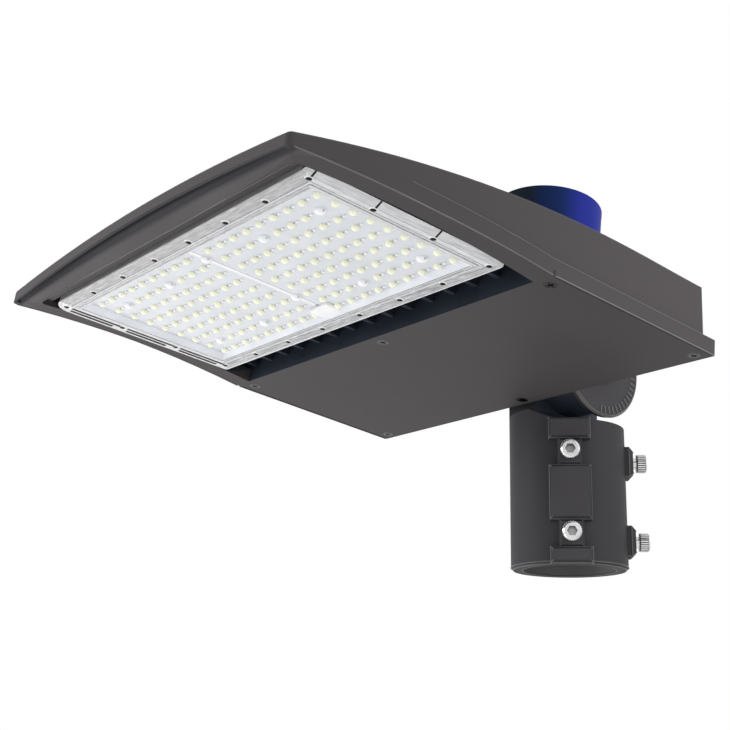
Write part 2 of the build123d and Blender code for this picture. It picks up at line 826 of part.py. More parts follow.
with BuildPart() as cover_screws:
    with Locations(*[(x, y, base_z) for x, y in cover_screw_places]):
        add(flat_screw(sunk_radius, sunk_head, cover_screw_length))
write(cover_screws, "cover_screws", head_place)

# Heat sink: plate under the roof with fins along the head, cut to the roof's inside
fin_count = 2 * int(sink_width / 2 / fin_pitch) + 1
fin_start = lens_y - sink_length / 2
fin_end = cover_front_y - fin_rear_gap
with BuildPart() as fins:
    with BuildSketch(level(fin_underside)):
        with Locations((0, (fin_start + fin_end) / 2)):
            with GridLocations(fin_pitch, 0, fin_count, 1):
                Rectangle(fin_thickness, fin_end - fin_start)
    extrude(amount=shoulder_rear + crown_rear)
with BuildPart() as fin_space:
    loft(sections=[shell_section(distance, wall + fin_gap) for distance in shell_stations(wall + fin_gap)])
with BuildPart() as heat_sink:
    add(fins.part)
    add(fin_space.part, mode=Mode.INTERSECT)
    with BuildSketch(level(sink_underside)):
        with Locations((0, lens_y)):
            Rectangle(sink_width, sink_length)
    extrude(amount=sink_thickness)
    with Locations(*[Location((x, y, base_z + sink_underside), (180, 0, 0)) for x, y in sink_post_places]):
        CounterSinkHole(sunk_radius + screw_gap, sunk_head + screw_gap, depth=sink_thickness,
                        counter_sink_angle=90)
    with BuildSketch(level(sink_underside)):
        with Locations(*lens_screw_places):
            Circle(lens_screw[0] + screw_gap)
        with Locations(*board_screw_places):
            Circle(board_screw[0] + screw_gap)
        with Locations((lead_x, connector_y)):
            Circle(lead_radius + screw_gap)
    extrude(amount=sink_thickness, mode=Mode.SUBTRACT)
write(heat_sink, "heat_sink", head_place)

with BuildPart() as heat_sink_screws:
    with Locations(*[(x, y, base_z + sink_underside) for x, y in sink_post_places]):
        add(flat_screw(sunk_radius, sunk_head, sink_screw_length))
write(heat_sink_screws, "heat_sink_screws", head_place)

# Lamp boards with their lamps, screws and connector
board_underside = sink_underside - board_thickness
for side, name in ((-1, "left"), (1, "right")):
    board_x = side * (board_gap + board_width) / 2
    with BuildPart() as led_board:
        with BuildSketch(level(board_underside)):
            with Locations((board_x, lens_y)):
                Rectangle(board_width, board_length)
            with Locations(*board_screw_places):
                Circle(board_screw[0] + screw_gap, mode=Mode.SUBTRACT)
            with Locations((lead_x, connector_y)):
                Circle(lead_radius + screw_gap, mode=Mode.SUBTRACT)
        extrude(amount=board_thickness)
    write(led_board, f"led_board_{name}", head_place)
    with BuildPart() as leds:
        with BuildSketch(level(board_underside)):
            with Locations(*[(side * x, y) for x, y in lamp_places]):
                Rectangle(lamp_size, lamp_size)
        extrude(amount=-lamp_height)
    write(leds, f"leds_{name}", head_place)

with BuildPart() as board_screws:
    with Locations(*[(x, y, base_z + board_underside) for x, y in board_screw_places]):
        add(pan_screw(board_screw, board_thickness + sink_thickness))
write(board_screws, "board_screws", head_place)

with BuildPart() as board_connector:
    with BuildSketch(level(board_underside)):
        with Locations((0, connector_y)):
            Rectangle(connector_width, connector_length)
    extrude(amount=-connector_height)
    fillet(board_connector.edges().filter_by(Axis.Z), connector_corner)
write(board_connector, "board_connector", head_place)

# Clear lens: flange with a tray that covers the lamps, on its gasket
lens_top = sink_underside - lens_gasket_thickness
lens_underside = lens_top - lens_flange
tray_width = lens_width - 2 * lens_flange_width
tray_length = lens_length - 2 * lens_flange_width
with BuildPart() as lens:
    with BuildSketch(level(lens_underside)):
        with Locations((0, lens_y)):
            RectangleRounded(lens_width, lens_length, lens_corner)
    extrude(amount=lens_flange)
    with BuildSketch(level(lens_underside - lens_drop)):
        with Locations((0, lens_y)):
            RectangleRounded(tray_width, tray_length, lens_corner)
    extrude(amount=lens_drop)
    with BuildSketch(level(lens_underside - lens_drop + lens_face)):
        with Locations((0, lens_y)):
            RectangleRounded(tray_width - 2 * lens_wall, tray_length - 2 * lens_wall, lens_corner - lens_wall)
    extrude(amount=lens_flange + lens_drop, mode=Mode.SUBTRACT)
    with BuildSketch(level(lens_underside)):
        with Locations(*lens_screw_places):
            Circle(lens_screw[0] + screw_gap)
    extrude(amount=lens_flange, mode=Mode.SUBTRACT)
write(lens, "lens", head_place)

with BuildPart() as lens_gasket:
    with BuildSketch(level(lens_top)):
        with Locations((0, lens_y)):
            RectangleRounded(sink_width, sink_length, lens_corner)
            Rectangle(sink_width - 2 * lens_gasket_width, sink_length - 2 * lens_gasket_width,
                      mode=Mode.SUBTRACT)
        with Locations(*lens_screw_places):
            Circle(lens_screw[0] + screw_gap, mode=Mode.SUBTRACT)
    extrude(amount=lens_gasket_thickness)
write(lens_gasket, "lens_gasket", head_place)

with BuildPart() as lens_screws:
    with Locations(*[(x, y, base_z + lens_underside) for x, y in lens_screw_places]):
        add(pan_screw(lens_screw, lens_flange + lens_gasket_thickness + sink_thickness))
write(lens_screws, "lens_screws", head_place)

# Control gear on a plate that hangs from the roof's posts, each device held by two screws
devices = {
    "led_driver": (driver_x, driver_width, driver_length, driver_height),
    "surge_protector": (surge_x, surge_width, surge_length, surge_height),
    "terminal_block": (terminal_x, terminal_width, terminal_length, terminal_height),
}
device_screw_places = {}
for name, (x, width, length, height) in devices.items():
    reach_x = width / 2 - device_screw_inset if width > length else 0
    reach_y = 0 if width > length else length / 2 - device_screw_inset
    device_screw_places[name] = [(x + end * reach_x, gear_y + end * reach_y) for end in (-1, 1)]
all_device_screws = [place for places in device_screw_places.values() for place in places]

with BuildPart() as gear_plate:
    with BuildSketch(level(gear_top)):
        with Locations((0, gear_y)):
            Rectangle(gear_plate_width, gear_plate_length)
        with Locations(*gear_post_places, *all_device_screws):
            Circle(small_screw[0] + screw_gap, mode=Mode.SUBTRACT)
    extrude(amount=gear_plate_thickness)
write(gear_plate, "gear_plate", head_place)

with BuildPart() as gear_screws:
    with Locations(*[(x, y, base_z + gear_top) for x, y in gear_post_places]):
        add(pan_screw(small_screw, gear_plate_thickness + gear_screw_depth))
write(gear_screws, "gear_screws", head_place)

with BuildPart() as device_screws:
    with Locations(*[Location((x, y, base_z + gear_plane), (180, 0, 0)) for x, y in all_device_screws]):
        add(pan_screw(small_screw, gear_plate_thickness + gear_screw_depth))
write(device_screws, "device_screws", head_place)

for name, (x, width, length, height) in devices.items():
    with BuildPart() as device:
        with BuildSketch(level(gear_top)):
            with Locations((x, gear_y)):
                Rectangle(width, length)
        extrude(amount=-height)
        fillet(device.edges().filter_by(Axis.Z), device_corner)
        with BuildSketch(level(gear_top)):
            with Locations(*device_screw_places[name]):
                Circle(small_screw[0] + screw_gap)
        extrude(amount=-gear_screw_depth - screw_gap, mode=Mode.SUBTRACT)
    write(device, name, head_place)

# Leads inside the head, from device to device
driver_front = gear_y - driver_length / 2
driver_rear = gear_y + driver_length / 2
terminal_rear = gear_y + terminal_length / 2
terminal_level = base_z + gear_top - terminal_height / 2
lead_level = base_z + grommet_rise
socket_underside = base_z + cell_seat + receptacle_gasket_thickness - receptacle_depth
loop_y = driver_rear + lead_loop
leads = {
    "led_leads": [
        (lead_x, driver_front, lead_level),
        (lead_x, connector_y, lead_level),
        (lead_x, connector_y, base_z + board_underside),
    ],
    "driver_leads": [
        (driver_lead_x, driver_rear, terminal_level),
        (driver_lead_x, loop_y, terminal_level),
        (terminal_x - lead_spread, loop_y, terminal_level),
        (terminal_x - lead_spread, terminal_rear, terminal_level),
    ],
    "photocell_leads": [
        (cell_x, cell_y, socket_underside),
        (cell_x, cell_y, terminal_level),
        (terminal_x + lead_spread, cell_y, terminal_level),
        (terminal_x + lead_spread, terminal_rear, terminal_level),
    ],
}
for name, points in leads.items():
    runs = [(Vector(end) - Vector(start)).length for start, end in zip(points, points[1:])]
    bends = [min(lead_bend, lead_bend_share * min(pair)) for pair in zip(runs, runs[1:])]
    with BuildPart() as lead:
        with BuildLine() as route:
            FilletPolyline(*points, radius=bends)
        with BuildSketch(Plane(origin=route.line @ 0, z_dir=route.line % 0)):
            Circle(lead_radius)
        sweep()
    write(lead, name, head_place)

# Rubber bushings where leads pass the back wall and the wall to the lamp
with BuildPart() as cable_bushing:
    with BuildSketch(upright(back_y - wall - bushing_lip, 0)):
        with Locations((neck_x, 0)):
            Circle(bushing_radius + bushing_lip)
    extrude(amount=-bushing_lip)
    with BuildSketch(upright(back_y - wall, 0)):
        with Locations((neck_x, 0)):
            Circle(bushing_radius)
    extrude(amount=-wall)
    with BuildSketch(upright(back_y - wall - bushing_lip, 0)):
        with Locations((neck_x, 0)):
            Circle(bushing_bore)
    extrude(amount=-wall - bushing_lip, mode=Mode.SUBTRACT)
write(cable_bushing, "cable_bushing", head_place)

with BuildPart() as lead_grommet:
    for start, radius, depth in (
        (cover_front_y, grommet_radius, front_wall),
        (cover_front_y + front_wall, grommet_radius + bushing_lip, bushing_lip),
    ):
        with BuildSketch(upright(start, base_z)):
            with Locations((lead_x, grommet_rise)):
                Circle(radius)
        extrude(amount=-depth)
    with BuildSketch(upright(cover_front_y, base_z)):
        with Locations((lead_x, grommet_rise)):
            Circle(grommet_bore)
    extrude(amount=-front_wall - bushing_lip, mode=Mode.SUBTRACT)
write(lead_grommet, "lead_grommet", head_place)

# Photocell receptacle on its seat
socket_floor = cell_seat + receptacle_gasket_thickness
socket_top = socket_floor + receptacle_flange
with BuildPart() as receptacle_gasket:
    with BuildSketch(level(cell_seat)):
        with Locations((cell_x, cell_y)):
            Circle(receptacle_radius)
            Circle(cell_hole_radius, mode=Mode.SUBTRACT)
        with Locations(*receptacle_screw_places):
            Circle(small_screw[0] + screw_gap, mode=Mode.SUBTRACT)
    extrude(amount=receptacle_gasket_thickness)
write(receptacle_gasket, "receptacle_gasket", head_place)

with BuildPart() as photocell_receptacle:
    with BuildSketch(level(socket_floor)):
        with Locations((cell_x, cell_y)):
            Circle(receptacle_radius)
    extrude(amount=receptacle_flange)
    with BuildSketch(level(socket_floor)):
        with Locations((cell_x, cell_y)):
            Circle(receptacle_body_radius)
    extrude(amount=-receptacle_depth)
    with BuildSketch(level(socket_top)):
        with Locations((cell_x, cell_y)):
            for angle in blade_angles:
                SlotArc(CenterArc((0, 0), blade_circle, angle - blade_reach, cell_twist + 2 * blade_reach),
                        blade_thickness + 2 * blade_gap)
    extrude(amount=-blade_length - blade_gap, mode=Mode.SUBTRACT)
    with BuildSketch(level(socket_top)):
        with Locations(*receptacle_screw_places):
            Circle(small_screw[1] + screw_gap)
    extrude(amount=-small_screw[2] - screw_gap, mode=Mode.SUBTRACT)
    with BuildSketch(level(socket_top)):
        with Locations(*receptacle_screw_places):
            Circle(small_screw[0] + screw_gap)
    extrude(amount=-receptacle_flange, mode=Mode.SUBTRACT)
write(photocell_receptacle, "photocell_receptacle", head_place)

with BuildPart() as receptacle_screws:
    with Locations(*[Location((x, y, base_z + socket_top - small_screw[2]), (180, 0, 0))
                     for x, y in receptacle_screw_places]):
        add(pan_screw(small_screw, receptacle_screw_length))
write(receptacle_screws, "receptacle_screws", head_place)

# Twist lock photocell: base with blades, board, cap and window
cell_floor = socket_top + face_gap
cell_top = cell_floor + cell_height
base_radius = cell_radius - cell_wall - screw_gap
base_top = cell_floor + cell_base_thickness
with BuildPart() as photocell_base:
    with BuildSketch(level(cell_floor)):
        with Locations((cell_x, cell_y)):
            Circle(base_radius)
    extrude(amount=cell_base_thickness)
    with BuildSketch(level(cell_floor)):
        with Locations((cell_x, cell_y)):
            Circle(cell_seal_radius + cell_seal_width)
            Circle(cell_seal_radius, mode=Mode.SUBTRACT)
    extrude(amount=cell_seal_width, mode=Mode.SUBTRACT)
write(photocell_base, "photocell_base", head_place)

with BuildPart() as photocell_gasket:
    with BuildSketch(level(cell_floor)):
        with Locations((cell_x, cell_y)):
            Circle(cell_seal_radius + cell_seal_width - screw_gap)
            Circle(cell_seal_radius + screw_gap, mode=Mode.SUBTRACT)
    extrude(amount=cell_seal_width)
write(photocell_gasket, "photocell_gasket", head_place)

with BuildPart() as photocell_blades:
    with BuildSketch(level(cell_floor)):
        with Locations((cell_x, cell_y)):
            for angle in blade_angles:
                SlotArc(CenterArc((0, 0), blade_circle, angle - blade_half, 2 * blade_half), blade_thickness)
    extrude(amount=-blade_length)
write(photocell_blades, "photocell_blades", head_place)

with BuildPart() as photocell_board:
    with BuildSketch(level(base_top)):
        with Locations((cell_x, cell_y)):
            Circle(cell_board_radius)
    extrude(amount=cell_board_thickness)
write(photocell_board, "photocell_board", head_place)

window_half = degrees(asin(window_width / 2 / cell_radius))
with BuildPart() as window_space:
    with BuildSketch(level(cell_floor + window_rise)):
        with Locations(Location((cell_x, cell_y, 0), (0, 0, window_angle))):
            Circle(cell_radius)
            Circle(cell_radius - window_thickness, mode=Mode.SUBTRACT)
            Polygon((0, 0), (2 * cell_radius, -2 * cell_radius * tan(radians(window_half))),
                    (2 * cell_radius, 2 * cell_radius * tan(radians(window_half))), align=None,
                    mode=Mode.INTERSECT)
    extrude(amount=window_height)
with BuildPart() as photocell_window:
    add(window_space.part)
write(photocell_window, "photocell_window", head_place)

with BuildPart() as photocell_cap:
    with BuildSketch(level(cell_floor)):
        with Locations((cell_x, cell_y)):
            Circle(cell_radius)
    extrude(amount=cell_top - cell_floor)
    fillet(photocell_cap.edges().sort_by(Axis.Z)[-1], cell_round)
    with BuildSketch(level(cell_floor)):
        with Locations((cell_x, cell_y)):
            Circle(cell_radius - cell_wall)
    extrude(amount=cell_top - cell_floor - cell_wall, mode=Mode.SUBTRACT)
    add(window_space.part, mode=Mode.SUBTRACT)
write(photocell_cap, "photocell_cap", head_place)
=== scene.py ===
# %% [markdown]
# # A parking lot light
# The light sits on a pole's end by a tilting slip fitter. The CAD model fixes where every piece is,
# so this lesson gives the pieces their surfaces and the small details that light catches.

# %% Load the fixed frame
import json
import math

import bmesh
import bpy
from mathutils import Matrix, Vector


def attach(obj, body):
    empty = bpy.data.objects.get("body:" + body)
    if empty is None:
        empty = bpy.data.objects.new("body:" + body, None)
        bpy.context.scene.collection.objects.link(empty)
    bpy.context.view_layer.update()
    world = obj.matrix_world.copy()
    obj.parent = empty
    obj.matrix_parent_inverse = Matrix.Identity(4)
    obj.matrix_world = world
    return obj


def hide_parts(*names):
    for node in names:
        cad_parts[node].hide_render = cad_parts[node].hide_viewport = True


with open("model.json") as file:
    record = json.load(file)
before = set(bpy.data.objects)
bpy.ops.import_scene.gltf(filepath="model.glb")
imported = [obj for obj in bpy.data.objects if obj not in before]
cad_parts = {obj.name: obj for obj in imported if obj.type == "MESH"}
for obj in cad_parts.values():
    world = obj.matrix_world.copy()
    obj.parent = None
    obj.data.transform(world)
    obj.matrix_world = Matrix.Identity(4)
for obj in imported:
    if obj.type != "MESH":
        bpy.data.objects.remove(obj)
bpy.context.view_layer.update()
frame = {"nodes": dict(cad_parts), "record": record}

nodes = frame["nodes"]
MM = 0.001
print("pieces in the frame:", len(nodes))

# %% [markdown]
# The head is tilted about the pivot bolt. Pieces that belong to the head are measured level, from
# the pivot, with heights above the service cover's underside. One matrix then turns them into
# place, just as the casting hangs on its bolt.

# %% Where the head hangs
TILT = math.radians(-7)
HEAD_TURN = (TILT, 0.0, 0.0)
AXIS_HEIGHT = 136 * MM
COVER = -30.0
FRONT = -346.0
COVER_FRONT = -172.0
LENS_MIDDLE = -258.0
head_place = Matrix.Translation((0, 0, AXIS_HEIGHT)) @ Matrix.Rotation(TILT, 4, "X")
head_level = head_place.inverted()


def on_head(x, y, height):
    """World place of a point of the head, given in millimetres."""
    return head_place @ (Vector((x, y, COVER + height)) * MM)


def from_head(point):
    """Level place on the head of a world point, in millimetres, height above the cover."""
    place = head_level @ point / MM
    place.z -= COVER
    return place


def mm(*sizes):
    """Sizes in metres of sizes given in millimetres."""
    return tuple(size * MM for size in sizes)


print("front edge's middle:", tuple(round(v, 3) for v in on_head(0, FRONT, 0)))

# %% [markdown]
# The photograph was taken from in front, from the pole's side and from below. The camera stands
# where a fit to the edges of the housing puts it, so the render can be laid over the photograph.

# %% Camera
def aim_camera(position, yaw, pitch, roll, lens):
    yaw, pitch, roll = map(math.radians, (yaw, pitch, roll))
    level = math.cos(pitch)
    ahead = Vector((-math.sin(yaw) * level, math.cos(yaw) * level, math.sin(pitch)))
    right = Vector((math.cos(yaw), math.sin(yaw), 0))
    up = right.cross(ahead)
    side = math.cos(roll) * right + math.sin(roll) * up
    top = -math.sin(roll) * right + math.cos(roll) * up
    data = bpy.data.cameras.new("camera")
    data.lens = lens
    data.sensor_width = 36
    data.clip_start = 0.05
    camera = bpy.data.objects.new("camera", data)
    turn = Matrix((side, top, -ahead)).transposed().to_4x4()
    camera.matrix_world = Matrix.Translation(position) @ turn
    bpy.context.scene.collection.objects.link(camera)
    bpy.context.scene.camera = camera
    return camera


camera = aim_camera(Vector((0.59151, -0.64872, -0.11009)), yaw=51.6, pitch=16.17, roll=1.25,
                    lens=63.08)
print("camera at", tuple(round(v, 3) for v in camera.location))

# %% [markdown]
# A product photograph on white has light from all round. The world gives that, a pale floor far
# below sends some of it back up, and a few soft lamps shape the housing: one in front on the left,
# one low on the left for the underside, and one behind on the right for the side wall.

# %% Floor, world and lamps
def make_floor(height, half):
    corners = [(x * half, y * half, height) for x, y in ((-1, -1), (1, -1), (1, 1), (-1, 1))]
    mesh = bpy.data.meshes.new("floor")
    mesh.from_pydata(corners, [], [(0, 1, 2, 3)])
    floor = bpy.data.objects.new("floor", mesh)
    bpy.context.scene.collection.objects.link(floor)
    material = bpy.data.materials.new("pale_floor")
    material.use_nodes = True
    shader = material.node_tree.nodes["Principled BSDF"]
    shader.inputs["Base Color"].default_value = (0.82, 0.82, 0.82, 1)
    shader.inputs["Roughness"].default_value = 0.9
    mesh.materials.append(material)


def soft_lamp(name, place, target, size, power, colour=(1, 1, 1)):
    data = bpy.data.lights.new(name, "AREA")
    data.shape = "DISK"
    data.size = size
    data.energy = power
    data.color = colour
    lamp = bpy.data.objects.new(name, data)
    lamp.location = place
    lamp.rotation_euler = (Vector(target) - Vector(place)).to_track_quat("-Z", "Y").to_euler()
    bpy.context.scene.collection.objects.link(lamp)


make_floor(height=-0.45, half=6)
world = bpy.data.worlds.new("studio")
world.use_nodes = True
sky = world.node_tree.nodes["Background"]
sky.inputs["Color"].default_value = (1, 1, 1, 1)
sky.inputs["Strength"].default_value = 1.0
bpy.context.scene.world = world
bpy.context.scene.view_settings.view_transform = "Standard"
soft_lamp("front_lamp", (-0.9, -1.2, 0.35), (-0.05, -0.3, 0.15), size=0.5, power=8)
soft_lamp("low_lamp", (-0.6, -0.35, -0.4), (-0.1, -0.15, 0.1), size=0.6, power=4.1,
          colour=(1.0, 0.94, 0.96))
soft_lamp("side_lamp", (0.5, 0.12, 0.2), (0.15, -0.03, 0.15), size=0.2, power=1.1,
          colour=(1.0, 0.95, 0.97))
print("lamps:", len(bpy.data.lights))

# %% [markdown]
# Small helpers wire up shader nodes. Every finish is a Principled shader with colour, roughness and
# bump that come from noise in the piece's own Object coordinates, so the grain has a real size.

# %% Shader helpers
def new_material(name):
    material = bpy.data.materials.new(name)
    material.use_nodes = True
    tree = material.node_tree
    return material, tree, tree.nodes["Principled BSDF"]


def own_place(tree):
    node = tree.nodes.get("place") or tree.nodes.new("ShaderNodeTexCoord")
    node.name = "place"
    return node.outputs["Object"]


def noise(tree, scale, detail=2.0, rough=0.5, stretch=None):
    node = tree.nodes.new("ShaderNodeTexNoise")
    node.inputs["Scale"].default_value = scale
    node.inputs["Detail"].default_value = detail
    node.inputs["Roughness"].default_value = rough
    place = own_place(tree)
    if stretch:
        mapping = tree.nodes.new("ShaderNodeMapping")
        mapping.inputs["Scale"].default_value = stretch
        tree.links.new(place, mapping.inputs["Vector"])
        place = mapping.outputs["Vector"]
    tree.links.new(place, node.inputs["Vector"])
    return node.outputs["Fac"]


def ramp(tree, value, *stops):
    node = tree.nodes.new("ShaderNodeValToRGB")
    marks = node.color_ramp.elements
    while len(marks) < len(stops):
        marks.new(0.5)
    for mark, (position, colour) in zip(marks, stops):
        mark.position = position
        mark.color = colour
    tree.links.new(value, node.inputs["Fac"])
    return node.outputs["Color"]


def spread(tree, value, low, high, start=0.3, end=0.7):
    node = tree.nodes.new("ShaderNodeMapRange")
    node.inputs["From Min"].default_value = start
    node.inputs["From Max"].default_value = end
    node.inputs["To Min"].default_value = low
    node.inputs["To Max"].default_value = high
    tree.links.new(value, node.inputs["Value"])
    return node.outputs["Result"]


def bump(tree, height, strength, distance):
    node = tree.nodes.new("ShaderNodeBump")
    node.inputs["Strength"].default_value = strength
    node.inputs["Distance"].default_value = distance
    tree.links.new(height, node.inputs["Height"])
    return node.outputs["Normal"]


def grey(value, warm=0.0):
    return (value * (1 + warm), value, value * (1 - warm), 1)


def finish(name, low, high, rough, metal=0.0, patch=30, grain=1200, strength=0.1,
           distance=0.0001, specular=0.5):
    """Colour patches from coarse noise, roughness from the same and a fine grain as bump."""
    material, tree, shader = new_material(name)
    patches = noise(tree, patch, 3.0)
    grains = noise(tree, grain, 2.0)
    colour = ramp(tree, patches, (0.3, low), (0.7, high))
    tree.links.new(colour, shader.inputs["Base Color"])
    tree.links.new(spread(tree, patches, *rough), shader.inputs["Roughness"])
    tree.links.new(bump(tree, grains, strength, distance), shader.inputs["Normal"])
    shader.inputs["Metallic"].default_value = metal
    shader.inputs["Specular IOR Level"].default_value = specular
    return material


print("shader helpers ready")

# %% [markdown]
# Powder coat is a baked plastic film: matt, with a fine orange peel. Its edges catch light, so the
# beads along the edges get a lighter version of the same finish: a painted highlight.

# %% Coats
COAT_HIGH = (0.0565, 0.052, 0.055, 1)
HEAD_PEEL = {"rough": (0.55, 0.65), "patch": 14, "grain": 1500, "strength": 0.25,
             "distance": 0.00012, "specular": 0.12}
CAST_PEEL = {"rough": (0.55, 0.65), "patch": 18, "grain": 1300, "strength": 0.3,
             "distance": 0.00014, "specular": 0.12}
EDGE_PEEL = {"rough": (0.4, 0.5), "patch": 60, "grain": 1500, "strength": 0.2, "specular": 0.3}
powder = finish("powder_coat", (0.051, 0.0465, 0.0495, 1), COAT_HIGH, **HEAD_PEEL)
# Lighter coats for the beads along sharp edges: painted highlights.
powder_edge_highlight = finish("powder_coat_edge_highlight", grey(0.08, 0.02), grey(0.1, 0.02),
                     **EDGE_PEEL | {"rough": (0.45, 0.55), "specular": 0.2})
powder_line_highlight = finish("powder_coat_line_highlight", grey(0.105, 0.02), grey(0.135, 0.02), **EDGE_PEEL)
fitter_coat = finish("fitter_coat", (0.032, 0.031, 0.034, 1), (0.037, 0.036, 0.039, 1),
                     **CAST_PEEL)
# Painted highlight for the beads along the slip fitter's edges.
fitter_edge_highlight = finish("fitter_coat_edge_highlight", grey(0.065), grey(0.085),
                     **EDGE_PEEL | {"patch": 70, "grain": 1300})
# Painted shade: a dark navy coat for the shaded hub.
hub_painted_shade = finish("hub_painted_shade", (0.04, 0.051, 0.071, 1), (0.05, 0.062, 0.084, 1),
                  **HEAD_PEEL | {"patch": 30, "grain": 1300})
# Painted shade: a darker coat for the fitter's top under the head.
collar_painted_shade = finish("collar_painted_shade", (0.0235, 0.023, 0.0248, 1), (0.028, 0.0275, 0.0293, 1),
                     **CAST_PEEL)
# Painted light: a lighter coat for the clamp pads.
pad_painted_light = finish("pad_painted_light", (0.05, 0.048, 0.053, 1), (0.056, 0.054, 0.059, 1), **CAST_PEEL)
disc_coat = finish("disc_coat", (0.0435, 0.042, 0.046, 1), (0.05, 0.0485, 0.0525, 1), **CAST_PEEL)
# Painted light: a lighter coat inside the bore.
bore_painted_light = finish("bore_painted_light", grey(0.1), grey(0.13),
                   **CAST_PEEL | {"rough": (0.5, 0.6), "patch": 30})
scale_coat = finish("scale_marks", grey(0.085), grey(0.115),
                    **EDGE_PEEL | {"patch": 80, "grain": 1300})
# Painted shade: a dark navy coat for the lamp room and the faces turned to it.
room_painted_shade = finish("lamp_room_painted_shade", (0.019, 0.025, 0.037, 1), (0.027, 0.035, 0.05, 1), (0.5, 0.65),
                   patch=40, grain=1400, strength=0.2, specular=0.12)
# Painted shade: a darker coat for the shelf inside the recess.
shelf_painted_shade = finish("recess_shelf_painted_shade", (0.042, 0.038, 0.04, 1), (0.05, 0.046, 0.048, 1),
                    **HEAD_PEEL | {"rough": (0.5, 0.6), "patch": 30, "specular": 0.15})
print("coats:", len(bpy.data.materials))

# %% [markdown]
# Behind the front face a drip groove runs along the arch, and shade gathers in it. The coat there
# is
# painted shade: a ramp along the head's length, dark in the groove and plain behind it. A Mapping
# node turns Object coordinates level with the head, so the ramp follows the groove.

# %% Painted shade on the front's underside
def head_axis(tree, axis):
    """One coordinate of a surface point in the head's own level frame, in metres."""
    mapping = tree.nodes.new("ShaderNodeMapping")
    mapping.inputs["Rotation"].default_value = (-TILT, 0, 0)
    mapping.inputs["Location"].default_value = head_level.translation
    tree.links.new(own_place(tree), mapping.inputs["Vector"])
    parts = tree.nodes.new("ShaderNodeSeparateXYZ")
    tree.links.new(mapping.outputs["Vector"], parts.inputs["Vector"])
    return parts.outputs[axis]


def painted_groove_shade(name, dark, plain, start, end):
    """Painted shade that runs from dark to plain between two distances from the front."""
    material, tree, shader = new_material(name)
    depth = spread(tree, head_axis(tree, "Y"), 0, 1, (FRONT + start) * MM, (FRONT + end) * MM)
    tree.links.new(ramp(tree, depth, (0.0, dark), (1.0, plain)), shader.inputs["Base Color"])
    tree.links.new(spread(tree, noise(tree, 14, 3.0), 0.5, 0.6), shader.inputs["Roughness"])
    tree.links.new(bump(tree, noise(tree, 1500), 0.25, 0.00012), shader.inputs["Normal"])
    shader.inputs["Specular IOR Level"].default_value = 0.15
    return material


front_groove_shade = painted_groove_shade("front_underside_painted_shade", (0.016, 0.016, 0.019, 1), COAT_HIGH, start=5.2, end=7.4)
print("coat ready:", front_groove_shade.name)

# %% [markdown]
# The other finishes are zinc on screws, black rubber, white boards and connectors, phosphor on the
# lamps, and dark navy metal in the lamp room, a painted shade like the room's coat.

# %% Other finishes
ZINC = {"metal": 1.0, "grain": 2600, "strength": 0.3}
RUBBER = {"patch": 120, "grain": 2200}
GLOSS = {"strength": 0.1, "distance": 0.00005}
bright_zinc = finish("bright_zinc", grey(0.6), grey(0.85), (0.2, 0.32), patch=160,
                     **ZINC | {"strength": 0.15, "distance": 0.00006})
# Painted shade for the floor of the clamp screws' key sockets.
socket_zinc_shade = finish("socket_zinc_shade", grey(0.3), grey(0.5), (0.3, 0.45), patch=300, **ZINC)
screw_black = finish("screw_black", grey(0.01), grey(0.09), (0.15, 0.3), patch=900,
                     **ZINC | {"strength": 0.6, "distance": 0.0003})
# Dark zinc, also the painted shade on the clamp screws' barrels and socket walls.
dark_zinc_and_socket_shade = finish("dark_zinc_and_socket_shade", grey(0.04), grey(0.12), (0.3, 0.45), patch=500, **ZINC)
# Painted shade: the heat sink gets the lamp room's dark navy.
sink_metal = finish("sink_metal", (0.015, 0.02, 0.03, 1), (0.022, 0.028, 0.038, 1), (0.5, 0.6),
                    patch=80, grain=1800, strength=0.2, specular=0.15)
rubber = finish("seal_rubber", grey(0.018), grey(0.028), (0.6, 0.8), strength=0.3, specular=0.3,
                **RUBBER)
# Black for the rim's slots, and painted shade for the gap beside the cover.
black_slots_and_gap_shade = finish("black_slots_and_gap_shade", grey(0.006), grey(0.012), (0.5, 0.7), strength=0.2, specular=0.2,
                    **RUBBER)
board_white = finish("board_white", (0.58, 0.62, 0.665, 1), (0.64, 0.675, 0.72, 1), (0.4, 0.55),
                     patch=60, grain=1600, **GLOSS)
board_green = finish("board_green", (0.02, 0.1, 0.04, 1), (0.03, 0.16, 0.06, 1), (0.35, 0.5),
                     patch=150, grain=1600, **GLOSS)
phosphor = finish("lamp_phosphor", (0.83, 0.78, 0.3, 1), (0.93, 0.9, 0.5, 1), (0.35, 0.5),
                  patch=400, grain=3000, **GLOSS)
connector_white = finish("connector_white", grey(0.82), grey(0.9), (0.35, 0.45), patch=120,
                         grain=1800, **GLOSS)
dash_grey = finish("mark_grey", grey(0.26), grey(0.38), (0.4, 0.5), patch=500, grain=3000, **GLOSS)
gear_black = finish("gear_black", grey(0.018), grey(0.03), (0.45, 0.6), patch=90, grain=1400,
                    strength=0.25)
lead_cover = finish("lead_cover", grey(0.05), grey(0.08), (0.45, 0.6), patch=90, grain=1400,
                    strength=0.15)
cell_window = finish("cell_window", grey(0.4), grey(0.5), (0.2, 0.3), patch=120, grain=1500,
                     **GLOSS)
blade_brass = finish("blade_brass", (0.5, 0.38, 0.13, 1), (0.62, 0.5, 0.2, 1), (0.25, 0.4),
                     metal=1.0, patch=200, grain=2000, **GLOSS)
print("finishes:", len(bpy.data.materials))

# %% [markdown]
# The photocell's cap is glossy blue plastic, tinted in the mass. Its colour is painted light and
# shade:
# deep navy on the side turned from the open sky and a clear blue on the other, following the
# direction round it.

# %% Photocell's blue
CELL_X = 57.0
CELL_Y = -85.0
CELL_REACH = 35


